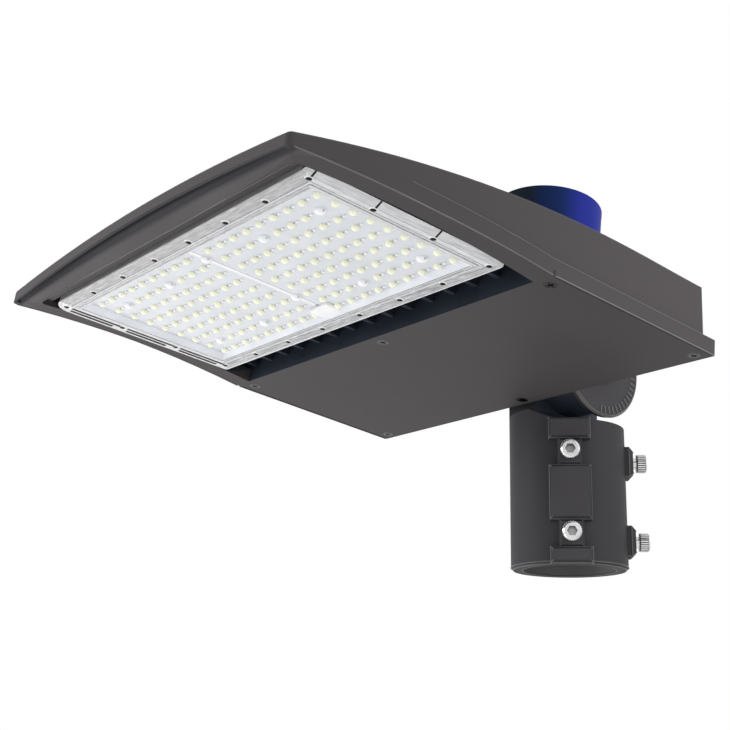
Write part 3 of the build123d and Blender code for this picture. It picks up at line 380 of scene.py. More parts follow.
def cap_light_and_shade(name, turn, *stops):
    """Finish whose colour, painted light and shade, follows how far a point faces one way round the
    cap.
    """
    material, tree, shader = new_material(name)
    total = tree.nodes.new("ShaderNodeMath")
    total.operation = "ADD"
    shares = (("X", CELL_X, math.cos(turn)), ("Y", CELL_Y, math.sin(turn)))
    for socket, (axis, middle, share) in zip(total.inputs, shares):
        ends = mm(middle - CELL_REACH, middle + CELL_REACH)
        tree.links.new(spread(tree, head_axis(tree, axis), -share, share, *ends), socket)
    facing = spread(tree, total.outputs["Value"], 0, 1, -1, 1)
    tree.links.new(ramp(tree, facing, *stops), shader.inputs["Base Color"])
    tree.links.new(spread(tree, noise(tree, 40), 0.45, 0.55), shader.inputs["Roughness"])
    tree.links.new(bump(tree, noise(tree, 1500), 0.1, 0.00006), shader.inputs["Normal"])
    shader.inputs["Specular IOR Level"].default_value = 0.04
    return material


cell_blue = cap_light_and_shade("cell_blue", math.radians(30), (0.45, (0.006, 0.011, 0.018, 1)),
                      (0.58, (0.006, 0.016, 0.066, 1)), (0.74, (0.007, 0.02, 0.09, 1)),
                      (0.88, (0.014, 0.024, 0.22, 1)))
print("cap finish ready:", cell_blue.name)

# %% [markdown]
# Clear plastic is mostly see-through, with a slight haze. The lens has a clear middle over the
# lamps and a thick rim. The rim's bright ridges and grey streaks along its length are painted light
# and shade for what moulded plastic bends from behind it.

# %% Lens plastics
def clear_plastic(name, alpha, low, high, rough=(0.15, 0.3), stretch=None, scale=50):
    material, tree, shader = new_material(name)
    haze = noise(tree, scale, 3.0, 0.6, stretch)
    tree.links.new(ramp(tree, haze, (0.36, low), (0.62, high)), shader.inputs["Base Color"])
    tree.links.new(spread(tree, haze, *rough), shader.inputs["Roughness"])
    shader.inputs["Alpha"].default_value = alpha
    shader.inputs["IOR"].default_value = 1.5
    return material


ALONG_X = {"stretch": (0.1, 1, 1), "scale": 900}
ALONG_Y = {"stretch": (1, 0.08, 1), "scale": 700}
WALL_GRAIN = {"rough": (0.4, 0.5), "patch": 60, "grain": 1500, "specular": 0.2}
# The rim's coats are painted light and shade: bright ridges, grey streaks, a dark wall and a
# lighter front wall.
lens_coats = {
    "clear": clear_plastic("lens_clear", 0.1, grey(0.85), grey(0.95), (0.12, 0.2)),
    "bright": clear_plastic("rim_painted_highlight", 0.97, grey(0.58, -0.02), grey(0.74, -0.01), (0.12, 0.25),
                            scale=300),
    "shade": clear_plastic("rim_shade", 0.95, grey(0.3, -0.03), grey(0.44, -0.02), scale=400),
    "front": clear_plastic("rim_front", 0.95, grey(0.33, -0.02), grey(0.5, -0.01), **ALONG_X),
    "rear": clear_plastic("rim_rear", 0.95, grey(0.24, -0.03), grey(0.52, -0.02), **ALONG_X),
    "side": clear_plastic("rim_side", 0.96, grey(0.55, -0.02), grey(0.7, -0.01), **ALONG_Y),
    "soft": clear_plastic("rim_soft", 0.95, grey(0.28, -0.03), grey(0.42, -0.02), scale=400),
    "wall": finish("rim_wall", grey(0.04), grey(0.055), **WALL_GRAIN),
    "inner": clear_plastic("inner_wall", 0.97, (0.78, 0.82, 0.9, 1), (0.85, 0.89, 0.96, 1),
                           (0.3, 0.4)),
    "front_wall": finish("front_wall", grey(0.25), grey(0.31), **WALL_GRAIN),
}
print("lens plastics:", len(lens_coats))

# %% [markdown]
# Some small helpers link a piece to the scene, smooth it, turn its modifiers into a plain mesh,
# coat a copy of a CAD piece face by face, and hang a piece on the body that carries it.

# %% Helpers for pieces
def link(name, mesh):
    piece = bpy.data.objects.new(name, mesh)
    bpy.context.scene.collection.objects.link(piece)
    return piece


def smooth(mesh, angle):
    for face in mesh.polygons:
        face.use_smooth = True
    mesh.set_sharp_from_angle(angle=math.radians(angle))


def settle(piece):
    """Swap a piece's live modifiers for the plain mesh that they make."""
    graph = bpy.context.evaluated_depsgraph_get()
    mesh = bpy.data.meshes.new_from_object(piece.evaluated_get(graph))
    piece.modifiers.clear()
    piece.data = mesh
    mesh.name = piece.name
    return piece


def coated_copy(node, name, coats, coat_of):
    """Copy of a CAD piece whose faces get coats by a rule on their middles and normals."""
    mesh = nodes[node].data.copy()
    mesh.name = name
    mesh.materials.clear()
    for coat in coats:
        mesh.materials.append(coat)
    for face in mesh.polygons:
        face.material_index = coat_of(face.center, face.normal)
    return link(name, mesh)


def hang(piece, body, slot, *replaced):
    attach(piece, body)
    if replaced:
        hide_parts(*replaced)
    print(piece.name, "faces", len(piece.data.polygons))


print("piece helpers ready")

# %% [markdown]
# Geometry Nodes set out what repeats or follows a path. A tree starts from a cloud of points or
# edges, has named inputs for its sizes, and ends with realised instances that carry a material.

# %% Helpers for trees
def new_tree(name, **sizes):
    tree = bpy.data.node_groups.new(name, "GeometryNodeTree")
    kinds = {float: "NodeSocketFloat", int: "NodeSocketInt", tuple: "NodeSocketVector",
             bpy.types.Material: "NodeSocketMaterial"}
    tree.interface.new_socket("Geometry", in_out="INPUT", socket_type="NodeSocketGeometry")
    for label, kind in sizes.items():
        tree.interface.new_socket(label, in_out="INPUT", socket_type=kinds[kind])
    tree.interface.new_socket("Geometry", in_out="OUTPUT", socket_type="NodeSocketGeometry")
    return tree, tree.nodes.new("NodeGroupInput"), tree.nodes.new("NodeGroupOutput")


def step(tree, kind, values=(), **links):
    """Add a node, set values by socket name and link other nodes' outputs to it."""
    node = tree.nodes.new(kind)
    for label, value in dict(values).items():
        node.inputs[label].default_value = value
    for label, source in links.items():
        tree.links.new(source, node.inputs[label.replace("_", " ")])
    return node


def reckon(tree, operation, first, second):
    """Reckon with two values, each a number or another node's output."""
    node = tree.nodes.new("ShaderNodeMath")
    node.operation = operation
    for socket, value in zip(node.inputs, (first, second)):
        if isinstance(value, (int, float)):
            socket.default_value = value
        else:
            tree.links.new(value, socket)
    return node.outputs["Value"]


def close_tree(tree, end, shape, material):
    """End a tree with realised instances that carry their material."""
    real = step(tree, "GeometryNodeRealizeInstances", Geometry=shape)
    painted = step(tree, "GeometryNodeSetMaterial", Geometry=real.outputs["Geometry"],
                   Material=material)
    tree.links.new(painted.outputs["Geometry"], end.inputs["Geometry"])


def grow(name, points, tree, edges=(), **sizes):
    """Run a tree on points and edges and keep the plain mesh that it makes."""
    mesh = bpy.data.meshes.new(name)
    mesh.from_pydata(points, edges, [])
    piece = link(name, mesh)
    modifier = piece.modifiers.new(name, "NODES")
    modifier.node_group = tree
    for socket in tree.interface.items_tree:
        if socket.in_out == "INPUT" and socket.name in sizes:
            modifier[socket.identifier] = sizes[socket.name]
    return settle(piece)


print("tree helpers ready")

# %% [markdown]
# On a coated casting the sharp edges are where light catches first. A tree draws a hair-thin bead
# along such edges as a painted highlight: it turns them into curves and sweeps a small ring along.

# %% A tree that draws beads along edges
def bead_tree():
    tree, start, end = new_tree("bead_along_edges", Radius=float, Finish=bpy.types.Material)
    path = step(tree, "GeometryNodeMeshToCurve", Mesh=start.outputs["Geometry"])
    ring = step(tree, "GeometryNodeCurvePrimitiveCircle", {"Resolution": 6},
                Radius=start.outputs["Radius"])
    tube = step(tree, "GeometryNodeCurveToMesh", {"Fill Caps": True}, Curve=path.outputs["Curve"],
                Profile_Curve=ring.outputs["Curve"])
    close_tree(tree, end, tube.outputs["Mesh"], start.outputs["Finish"])
    return tree


beads = bead_tree()
print("tree", beads.name, "nodes", len(beads.nodes))

# %% [markdown]
# The castings keep their CAD shape. A copy of each gets several coats, face by face: painted shade
# in the lamp room, on the hub and in other shaded places, painted light on a few faces, plain
# elsewhere. One rule for each casting says which coat a face gets, and another which sharp edges
# show a light bead, a painted highlight. CAD triangles are loose, so the edges are found on a
# second copy whose corners are merged.

# %% Helpers for castings
MERGE = 2e-6
LEAST_BEND = math.radians(7)
LEAST_RUN = 0.5
SQUARE = 30
BEAD_SMOOTH = 60


def sharp_runs(mesh, line_of):
    """Sharp edges of a mesh, sorted by the radius and coat of the bead that they show."""
    work = bmesh.new()
    work.from_mesh(mesh)
    bmesh.ops.remove_doubles(work, verts=work.verts, dist=MERGE)
    runs = {}
    for edge in work.edges:
        if len(edge.link_faces) != 2 or not edge.is_convex:
            continue
        bend = edge.calc_face_angle(0)
        if bend < LEAST_BEND:
            continue
        kinds = {face.material_index for face in edge.link_faces}
        ends = [vert.co.copy() for vert in edge.verts]
        line = line_of(from_head(ends[0]), from_head(ends[1]), kinds, math.degrees(bend))
        if line:
            runs.setdefault(line, []).append(ends)
    work.free()
    return runs


def casting(node, body, coats, coat_of, line_of):
    level = head_level.to_3x3()
    piece = coated_copy(node, node + "_cast", coats,
                        lambda middle, normal: coat_of(from_head(middle), level @ normal))
    hang(piece, body, "powder_coat", node)
    for (radius, coat), pairs in sharp_runs(piece.data, line_of).items():
        spots, joins = {}, []
        for pair in pairs:
            ends = [tuple(round(v, 6) for v in point) for point in pair]
            joins.append([spots.setdefault(end, len(spots)) for end in ends])
        bead = grow(f"{node}_{coat.name}", list(spots), beads, joins, Radius=radius * MM,
                    Finish=coat)
        smooth(bead.data, BEAD_SMOOTH)
        hang(bead, body, "powder_coat")


print("casting helpers ready")

# %% [markdown]
# The housing is one die casting: a domed roof, a skirt round it, and the lamp room beneath. Painted
# highlight beads run along the lower edge of its side, along the skirt's top and at the front of
# the recess.

# %% Housing
ROOF_REAR, ROOF_DROP, ROOF_CROWN = 45, 37, 9.5
ROOF_RUN, ROOF_HALF, ROOF_WALL = 250, 150, 1.2
ROOM_FRONT, ROOM_REAR, ROOM_MOUTH = 15, 176, 5.1
GROOVE_REAR, GROOVE_TOP = 12.4, 14
SHELF_REAR, SHELF_LOW, SHELF_HIGH = 21, 4.5, 5.5
SIDE_WALL, SIDE_EDGE, SIDE_TOP, SIDE_FROM = 144, 149, 6, 3
SKIRT_REAR, SKIRT_DROP, SKIRT_BOW = 9.5, 0.3, 17.4
SKIRT_SIDE, SKIRT_FROM, SKIRT_NEAR, SKIRT_RUN = 140, 74, 0.7, 1
RECESS_FROM, RECESS_TO, RECESS_TOP = 11, 14, 5
COVER_DEPTH = COVER_FRONT - FRONT
SIDE_BEAD = 0.36
THIN_BEAD = 0.3


def roof(x, distance):
    """Height of the housing's roof above the cover's underside."""
    climb = max(0.0, 1 - distance / ROOF_RUN)
    return ROOF_REAR - ROOF_DROP * climb**2 + ROOF_CROWN * (1 - (x / ROOF_HALF) ** 2)


def housing_coat(place, normal):
    distance = place.y - FRONT
    outside = abs(place.x) > SIDE_WALL and normal.x * place.x > 0
    under_roof = ROOM_MOUTH < place.z < roof(place.x, distance) - ROOF_WALL
    # Painted shade: the lamp room, the groove under the front and the recess's shelf get darker
    # coats.
    if ROOM_FRONT < distance < ROOM_REAR and under_roof and not outside:
        return 1
    if distance < GROOVE_REAR and normal.z < -0.2 and place.z < GROOVE_TOP:
        return 2
    if distance < SHELF_REAR and SHELF_LOW < place.z < SHELF_HIGH and normal.z < -0.5:
        return 3
    return 0


def skirt_top(distance):
    """Height of the skirt's upper line above the cover's underside."""
    share = min(distance / COVER_DEPTH, 1.0)
    return SKIRT_REAR + SKIRT_DROP * (1 - share) + SKIRT_BOW * share * (1 - share)


def housing_line(first, second, kinds, bend):
    """Painted highlight: bright along the side's lower edge, faint on the skirt's top and at the
    recess's front.
    """
    middle = (first + second) / 2
    distance = middle.y - FRONT
    along = abs(first.y - second.y)
    low_side = abs(middle.x) > SIDE_EDGE and max(first.z, second.z) < SIDE_TOP and bend > SQUARE
    if low_side and SIDE_FROM < distance < COVER_DEPTH and along > LEAST_RUN:
        return (SIDE_BEAD, powder_line_highlight)
    on_skirt = abs(middle.x) > SKIRT_SIDE and distance > SKIRT_FROM
    if on_skirt and abs(middle.z - skirt_top(distance)) < SKIRT_NEAR and along > SKIRT_RUN:
        return (THIN_BEAD, powder_line_highlight)
    if RECESS_FROM < distance < RECESS_TO and middle.z < RECESS_TOP and bend > SQUARE:
        return (THIN_BEAD, powder_edge_highlight)
    return None


casting("housing", "head", (powder, room_painted_shade, front_groove_shade, shelf_painted_shade), housing_coat, housing_line)

# %% [markdown]
# The service cover is a flat plate. Its front edge faces the lamp room and gets its painted shade,
# and its lower outer edges carry on the painted highlight line of the housing's side.

# %% Service cover
COVER_EDGE, COVER_LOW = 150, 0.5
FORWARD = -0.7


def cover_coat(place, normal):
    # Painted shade: faces turned forward get the lamp room's dark coat.
    return 1 if normal.y < FORWARD else 0


def cover_line(first, second, kinds, bend):
    outer = min(abs(first.x), abs(second.x)) > COVER_EDGE and max(first.z, second.z) < COVER_LOW
    along = abs(first.y - second.y)
    return (SIDE_BEAD, powder_line_highlight) if outer and along > LEAST_RUN else None


casting("service_cover", "head", (powder, room_painted_shade), cover_coat, cover_line)

# %% [markdown]
# The knuckle arm turns with the head. Its disc carries a tilt scale whose marks stand out a little,
# its hub lies in deep shade behind the disc, painted as a dark navy coat on the faces turned
# forward, and the disc's rim catches light, drawn as a painted highlight bead.

# %% Knuckle arm
HUB_END = 30.9
DISC_FROM = 31
MARKS_FROM = 35.05
DISC_BEAD = 0.65
BACKWARD = 0.3


def arm_coat(place, normal):
    if place.x > MARKS_FROM:
        return 2
    # Painted shade: the hub's faces turned forward get the dark navy coat.
    return 1 if place.x < HUB_END and normal.y < BACKWARD else 0


def arm_line(first, second, kinds, bend):
    on_disc = kinds == {0} and min(first.x, second.x) > DISC_FROM
    return (DISC_BEAD, powder_line_highlight) if on_disc and bend > SQUARE else None


casting("knuckle_arm", "head", (disc_coat, hub_painted_shade, scale_coat), arm_coat, arm_line)

# %% [markdown]
# Where the cover meets the housing there is a thin gap in shade. A dark bead along each side of the
# cover is painted shade for it, drawn by the same tree.

# %% Seam beside the cover
SEAM_SIDE, SEAM_HEIGHT, SEAM_RADIUS = 151.4, 0.55, 0.8
SEAM_ENDS = (COVER_FRONT + 4, FRONT + 311)
seam_points = [on_head(side * SEAM_SIDE, y, SEAM_HEIGHT) for side in (-1, 1) for y in SEAM_ENDS]
seam = grow("cover_seam_shade", seam_points, beads, [(0, 1), (2, 3)], Radius=SEAM_RADIUS * MM,
            Finish=black_slots_and_gap_shade)
hang(seam, "head", "seal_rubber")

# %% [markdown]
# The slip fitter is a tube over the pole's end, with an ear above it for the pivot bolt. It stays
# upright, so its rules turn a place back from the head to the pole. Its top under the head gets
# painted shade, its clamp pads and bore painted light. Painted highlight beads follow its sharp
# edges, but not under the clamp screws' heads, which have to seat flat.

# %% Slip fitter
PAD_FACING = Vector((1, -1, 0)).normalized()
PAD_REACH = 41
PAD_SHARE = 0.97
HUB_FACING = Vector((0.62, 0.78, 0))
HUB_SHARE = -0.6
COLLAR = 96.5
BORE = 31.8
FITTER_TOP = 92
FITTER_BEAD = 0.4
CLAMP_ANGLES = {"front": 45, "side": 135}
CLAMP_HEIGHTS = {"lower": 19, "upper": 73}
CLAMP_CLEAR = 6.8


def on_pole(place):
    """Upright place, in millimetres from the tube's mouth, of a level place on the head."""
    return on_head(*place) / MM


def fitter_face(place, normal):
    spot = on_pole(place)
    out = head_place.to_3x3() @ normal
    # Painted shade above the collar, painted light on the bore and pads.
    if spot.z > COLLAR:
        return 1 if out.dot(HUB_FACING) > HUB_SHARE and out.y < BACKWARD else 4
    if spot.xy.length < BORE:
        return 3
    on_pad = out.dot(PAD_FACING) > PAD_SHARE and spot.dot(PAD_FACING) > PAD_REACH
    return 2 if on_pad else 0


def clamp_away(side):
    """Direction in which a clamp screw points away from the pole."""
    angle = math.radians(CLAMP_ANGLES[side])
    return Vector((math.sin(angle), -math.cos(angle), 0))


def under_clamp(spot):
    """Whether a place on the fitter lies under a clamp screw's head."""
    for away in map(clamp_away, CLAMP_ANGLES):
        for height in CLAMP_HEIGHTS.values():
            offset = spot - Vector((0, 0, height))
            along = offset.dot(away)
            if along > 0 and (offset - away * along).length < CLAMP_CLEAR:
                return True
    return False


def fitter_line(first, second, kinds, bend):
    spot = on_pole((first + second) / 2)
    if kinds & {1, 2} or bend < SQUARE or spot.z > FITTER_TOP or under_clamp(spot):
        return None
    return (FITTER_BEAD, fitter_edge_highlight)


casting("slip_fitter", "fitter", (fitter_coat, hub_painted_shade, pad_painted_light, bore_painted_light, collar_painted_shade),
        fitter_face, fitter_line)

# %% [markdown]
# The lens is one moulded plate. Its rim is a ring of strips: each loop is the plate's rounded
# outline, drawn in by some millimetres and set at some height, and quads join one loop to the next.
# That gives the ridges and grooves of the rim with exact widths. One side has a sloping flank and
# the other is flat, so a loop changes its height on the way round. A row of the table has a loop's
# inset, its height, its height on the flank, and the kind of strip that ends there.

# %% Loops of the lens
LENS_WIDTH = 272.0
LENS_LENGTH = 134.0
CORNERS = (3.0, 3.0, 10.0, 3.0)
CORNER_STEPS = 5
FLAT = 1.8
FLAT_BELOW = 3
RIM = [
    (8.0, 6.3, 6.3, "wall"), (0.0, 6.3, 6.3, "wall"), (0.0, 2.8, 4.7, "wall"),
    (0.6, 2.3, 4.35, "edge"), (1.6, 2.2, 3.8, "lip"), (2.0, 2.4, 3.6, "step"),
    (4.4, 2.4, 2.3, "floor"), (5.0, 2.4, 2.3, "seam"), (8.4, 2.4, 2.3, "floor"),
    (8.8, 2.0, 2.0, "shade"), (9.8, 2.0, 2.0, "bright"), (10.1, 1.7, 1.7, "shade"),
    (10.6, 1.5, 1.5, "shade"), (12.2, 1.5, 1.5, "floor"), (12.6, 1.5, 1.5, "shade"),
    (13.2, 1.5, 1.5, "bright"),
]
BACK = [(13.0, 2.0), (15.2, 6.3)]


def outline(inset, height, flank):
    """Rounded outline of the lens, drawn in by an inset, as points on the head."""
    points = []
    for quarter, (x, y) in enumerate(((1, 1), (-1, 1), (-1, -1), (1, -1))):
        corner = max(CORNERS[quarter] - inset, 1.0)
        middle_x = x * (LENS_WIDTH / 2 - inset - corner)
        middle_y = LENS_MIDDLE + y * (LENS_LENGTH / 2 - inset - corner)
        for tick in range(CORNER_STEPS + 1):
            angle = math.pi / 2 * (quarter + tick / CORNER_STEPS)
            across = math.cos(angle)
            slope = (flank - height) * max(across, 0)
            level = (FLAT - height) * max(-across, 0) if FLAT < height < FLAT_BELOW else 0
            points.append(on_head(middle_x + corner * across, middle_y + corner * math.sin(angle),
                                  height + slope + level))
    return points


print("points in a loop:", len(outline(*RIM[0][:3])))

# %% [markdown]
# Each kind of strip gets a coat that depends on which side of the rim it lies: painted streaks run
# along the front and rear, and the two ends are painted brighter. The faces are then made and
# turned outwards.

# %% Lens plate
RIM_WIDTH = 14
coat_index = {name: index for index, name in enumerate(lens_coats)}


def rim_coats(place):
    """Which coat each kind of strip gets at a place on the rim."""
    sloping = place.x > LENS_WIDTH / 2 - RIM_WIDTH
    across = abs(place.x) > LENS_WIDTH / 2 - RIM_WIDTH
    front = place.y < LENS_MIDDLE and not across
    floor = "side" if across else "front" if front else "rear"
    shade = "shade" if across else "soft"
    return {
        "wall": "front_wall" if front else "wall", "edge": floor if front else "bright",
        "bright": "bright", "shade": shade, "floor": floor,
        "lip": floor if sloping or front else "bright", "step": floor if sloping else shade,
        "seam": shade if sloping else floor,
    }


def join_loops(work, low, high, coat_at):
    """Quads from one loop to the next, with a coat by a rule on the place."""
    for spot in range(len(low)):
        after = (spot + 1) % len(low)
        face = work.faces.new((low[spot], high[spot], high[after], low[after]))
        place = from_head((high[spot].co + high[after].co) / 2)
        face.material_index = coat_index[coat_at(place)]


def lens_plate():
    work = bmesh.new()
    loops = [[work.verts.new(point) for point in outline(*row[:3])] for row in RIM]
    for low, high, row in zip(loops, loops[1:], RIM[1:]):
        join_loops(work, low, high, lambda place: rim_coats(place)[row[3]])
    work.faces.new(loops[-1]).material_index = coat_index["clear"]
    back = [[work.verts.new(point) for point in outline(inset, height, height)]
            for inset, height in BACK]
    for low, high in ((back[0], back[1]), (back[1], loops[0])):
        join_loops(work, low, high, lambda place: "inner")
    work.faces.new(list(reversed(back[0]))).material_index = coat_index["clear"]
    bmesh.ops.recalc_face_normals(work, faces=work.faces)
    mesh = bpy.data.meshes.new("lens_plate")
    work.to_mesh(mesh)
    work.free()
    for coat in lens_coats.values():
        mesh.materials.append(coat)
    hang(link("lens_plate", mesh), "head", "clear_lens", "lens")


lens_plate()

# %% [markdown]
# This tree puts a small dome on every point that it is given: half a sphere of a few dozen faces,
# drawn to a height, turned to hang from the head. Each dome keeps how far every point is from its
# foot, so a finish can change from foot to tip.

# %% A tree that sets domes on points
def dome_tree():
    tree, start, end = new_tree("domes_on_points", Radius=float, Height=float, Segments=int,
                                Turn=tuple, Finish=bpy.types.Material)
    given = start.outputs
    ball = step(tree, "GeometryNodeMeshUVSphere", {"Rings": 8}, Segments=given["Segments"],
                Radius=given["Radius"])
    where = step(tree, "GeometryNodeInputPosition")
    parts = step(tree, "ShaderNodeSeparateXYZ", Vector=where.outputs["Position"])
    above = step(tree, "FunctionNodeCompare", {"B": 1e-5}, A=parts.outputs["Z"])
    above.operation = "GREATER_THAN"
    half = step(tree, "GeometryNodeDeleteGeometry", Geometry=ball.outputs["Mesh"],
                Selection=above.outputs["Result"])
    half.domain = "POINT"
    depth = reckon(tree, "DIVIDE", parts.outputs["Z"], given["Radius"])
    tip = step(tree, "GeometryNodeStoreNamedAttribute", {"Name": "tip"},
               Geometry=half.outputs["Geometry"], Value=reckon(tree, "MULTIPLY", depth, -1.0))
    tip.data_type = "FLOAT"
    tip.domain = "POINT"
    stretch = step(tree, "ShaderNodeCombineXYZ", {"X": 1.0, "Y": 1.0},
                   Z=reckon(tree, "DIVIDE", given["Height"], given["Radius"]))
    drawn = step(tree, "GeometryNodeTransform", Geometry=tip.outputs["Geometry"],
                 Scale=stretch.outputs["Vector"])
    soft = step(tree, "GeometryNodeSetShadeSmooth", Geometry=drawn.outputs["Geometry"])
    copies = step(tree, "GeometryNodeInstanceOnPoints", Points=given["Geometry"],
                  Instance=soft.outputs["Geometry"], Rotation=given["Turn"])
    close_tree(tree, end, copies.outputs["Instances"], given["Finish"])
    return tree


def tip_finish(name, rough, specular, *stops):
    """Finish that runs from a dome's foot to its tip."""
    material, tree, shader = new_material(name)
    mark = tree.nodes.new("ShaderNodeAttribute")
    mark.attribute_name = "tip"
    tree.links.new(ramp(tree, mark.outputs["Fac"], *stops), shader.inputs["Base Color"])
    tree.links.new(spread(tree, noise(tree, 900), *rough), shader.inputs["Roughness"])
    shader.inputs["Specular IOR Level"].default_value = specular
    return material


domes = dome_tree()
print("tree", domes.name, "nodes", len(domes.nodes))

# %% [markdown]
# Each lamp is a yellow phosphor square under its own clear dome, and the dome fills with the
# phosphor's colour. The grid leaves out the places of the board screws, which show as white knobs.

# %% Lamp domes and knobs
LAMP_FIRST = 11.5
LAMP_PITCH_X = 12.75
LAMP_PITCH_Y = 11.6
LAMP_SHIFT = 2.5
LAMP_COUNT = 9
MIDDLE_ROW = 4
BOARD = 6.4
SCREW_COLUMNS = (3, 7)
SCREW_ROWS = (1, 7)
STRIP_ROWS = (0.5, 6)


def board_place(x, row):
    return on_head(x, LENS_MIDDLE + LAMP_SHIFT + (row - MIDDLE_ROW) * LAMP_PITCH_Y, BOARD)


def lamp_place(side, column, row):
    return board_place(side * (LAMP_FIRST + column * LAMP_PITCH_X), row)


lamp_glow = tip_finish("lamp_glow", (0.3, 0.4), 0.5, (0.0, (0.72, 0.76, 0.78, 1)),
                       (0.2, (0.9, 0.92, 0.74, 1)), (0.8, (0.96, 0.97, 0.7, 1)))
knob_white = tip_finish("knob_white", (0.25, 0.35), 0.5, (0.0, (0.7, 0.73, 0.78, 1)),
                        (0.5, (0.92, 0.93, 0.95, 1)))
lamp_points = [lamp_place(side, column, row)
               for side in (-1, 1) for column in range(LAMP_COUNT) for row in range(LAMP_COUNT)
               if not (column in SCREW_COLUMNS and row in SCREW_ROWS)]
knob_points = [lamp_place(side, column, row)
               for side in (-1, 1) for column in SCREW_COLUMNS for row in SCREW_ROWS]
knob_points += [board_place(0, row) for row in STRIP_ROWS]
lamp_domes = grow("lamp_domes", lamp_points, domes, Radius=2.6 * MM, Height=2.6 * MM, Segments=10,
                  Turn=HEAD_TURN, Finish=lamp_glow)
hang(lamp_domes, "head", "led_phosphor")
board_knobs = grow("board_knobs", knob_points, domes, Radius=3.5 * MM, Height=2.7 * MM, Segments=14,
                   Turn=HEAD_TURN, Finish=knob_white)
hang(board_knobs, "head", "connector_white", "board_screws")

# %% [markdown]
# The lens screws have round heads with a recess at the tip. They are the same domes, flatter, with
# a
# finish that turns black towards the tip: painted shade for the recess.

# %% Lens screws
SCREW_INSET = 6.5
SCREW_HEIGHT = 3.0
SCREW_X = LENS_WIDTH / 2 - SCREW_INSET
SCREW_Y = LENS_LENGTH / 2 - SCREW_INSET


def row_place(row):
    """Level place along the head of a row of lens screws, of four from front to rear."""
    return LENS_MIDDLE + SCREW_Y * (2 * row / 3 - 1)


screw_points = [on_head(SCREW_X * (2 * column / 7 - 1), LENS_MIDDLE + end * SCREW_Y, SCREW_HEIGHT)
                for column in range(8) for end in (-1, 1)]
screw_points += [on_head(side * SCREW_X, row_place(row), SCREW_HEIGHT)
                 for row in (1, 2) for side in (-1, 1)]
# Painted shade: the black tip stands for the recess.
screw_zinc_recess_shade = tip_finish("screw_zinc_recess_shade", (0.25, 0.4), 0.1, (0.3, grey(0.95)), (0.66, grey(0.85)),
                        (0.72, grey(0.004)))
screw_heads = grow("lens_screw_heads", screw_points, domes, Radius=2.5 * MM, Height=1.8 * MM,
                   Segments=14, Turn=HEAD_TURN, Finish=screw_zinc_recess_shade)
hang(screw_heads, "head", "zinc_steel", "lens_screws")

# %% [markdown]
# A second tree puts a bar of one size on every point. It makes the dark slots in the lens rim:
# pairs of long ones between the screws on one side, and short slanted ones on the other's flank.

# %% Slots in the rim
def bar_tree():
    tree, start, end = new_tree("bars_on_points", Size=tuple, Turn=tuple,
                                Finish=bpy.types.Material)
    given = start.outputs
    bar = step(tree, "GeometryNodeMeshCube", Size=given["Size"])
    copies = step(tree, "GeometryNodeInstanceOnPoints", Points=given["Geometry"],
                  Instance=bar.outputs["Mesh"], Rotation=given["Turn"])
    close_tree(tree, end, copies.outputs["Instances"], given["Finish"])
    return tree


SLOT_HEIGHT = 1.9
CUT_INSET, CUT_HEIGHT = 2.5, 3.5
FLANK_SLOPE = math.radians(-28.6)
bars = bar_tree()
for name, inset, shift, size in (("rim_slots_inner", 7.4, 0.8, (2.3, 35, 0.4)),
                                 ("rim_slots_outer", 3.3, -0.5, (2.6, 30, 0.4))):
    slot_points = [on_head(inset - LENS_WIDTH / 2, row_place(row + 0.5) + shift, SLOT_HEIGHT)
                   for row in range(3)]
    slots = grow(name, slot_points, bars, Size=mm(*size), Turn=HEAD_TURN, Finish=black_slots_and_gap_shade)
    hang(slots, "head", "seal_rubber")
flank_turn = Matrix.Rotation(TILT, 3, "X") @ Matrix.Rotation(FLANK_SLOPE, 3, "Y")
cut_points = [on_head(LENS_WIDTH / 2 - CUT_INSET, row_place(row), CUT_HEIGHT) for row in range(3)]
rim_cuts = grow("rim_cuts", cut_points, bars, Size=mm(5.4, 1.1, 0.6),
                Turn=tuple(flank_turn.to_euler()), Finish=black_slots_and_gap_shade)
hang(rim_cuts, "head", "seal_rubber")

# %% [markdown]
# Beside every lamp lie two tiny marks on the board, a dark one and a white one, and beside every
# knob a dark one. They are bars too.

# %% Small marks on the boards
DARK_OFFSET = Vector((3.4, -0.4, -0.5)) * MM
KNOB_OFFSET = Vector((3.0, -0.4, -1.4)) * MM
WHITE_OFFSET = Vector((5.4, -0.4, -0.5)) * MM
dash_points = [point + DARK_OFFSET for point in lamp_points]
dash_points += [point + KNOB_OFFSET for point in knob_points]
dashes = grow("lamp_marks_dark", dash_points, bars, Size=mm(1.4, 0.7, 0.6), Turn=HEAD_TURN,
              Finish=dash_grey)
hang(dashes, "head", "gear_black")
white_mark_points = [point + WHITE_OFFSET for point in lamp_points]
white_marks = grow("lamp_marks_white", white_mark_points, bars, Size=mm(1.6, 1.4, 0.9), Turn=HEAD_TURN,
              Finish=connector_white)
hang(white_marks, "head", "connector_white")

# %% [markdown]
# Between the two boards runs a white strip, and the boards' connector has a moulded cover. Both are
# boxes with bevelled edges.

# %% Strip and connector cover
BOX_SMOOTH = 35


def soft_box(name, low, high, width):
    """White box on the head between two corners, with rounded edges."""
    work = bmesh.new()
    bmesh.ops.create_cube(work, size=1)
    for vert in work.verts:
        share = vert.co + Vector((0.5, 0.5, 0.5))
        vert.co = on_head(*(a + (b - a) * s for a, b, s in zip(low, high, share)))
    bmesh.ops.bevel(work, geom=list(work.edges), offset=width * MM, segments=2, affect="EDGES",
                    profile=0.6)
    mesh = bpy.data.meshes.new(name)
    work.to_mesh(mesh)
    work.free()
    mesh.materials.append(connector_white)
    smooth(mesh, BOX_SMOOTH)
    return link(name, mesh)


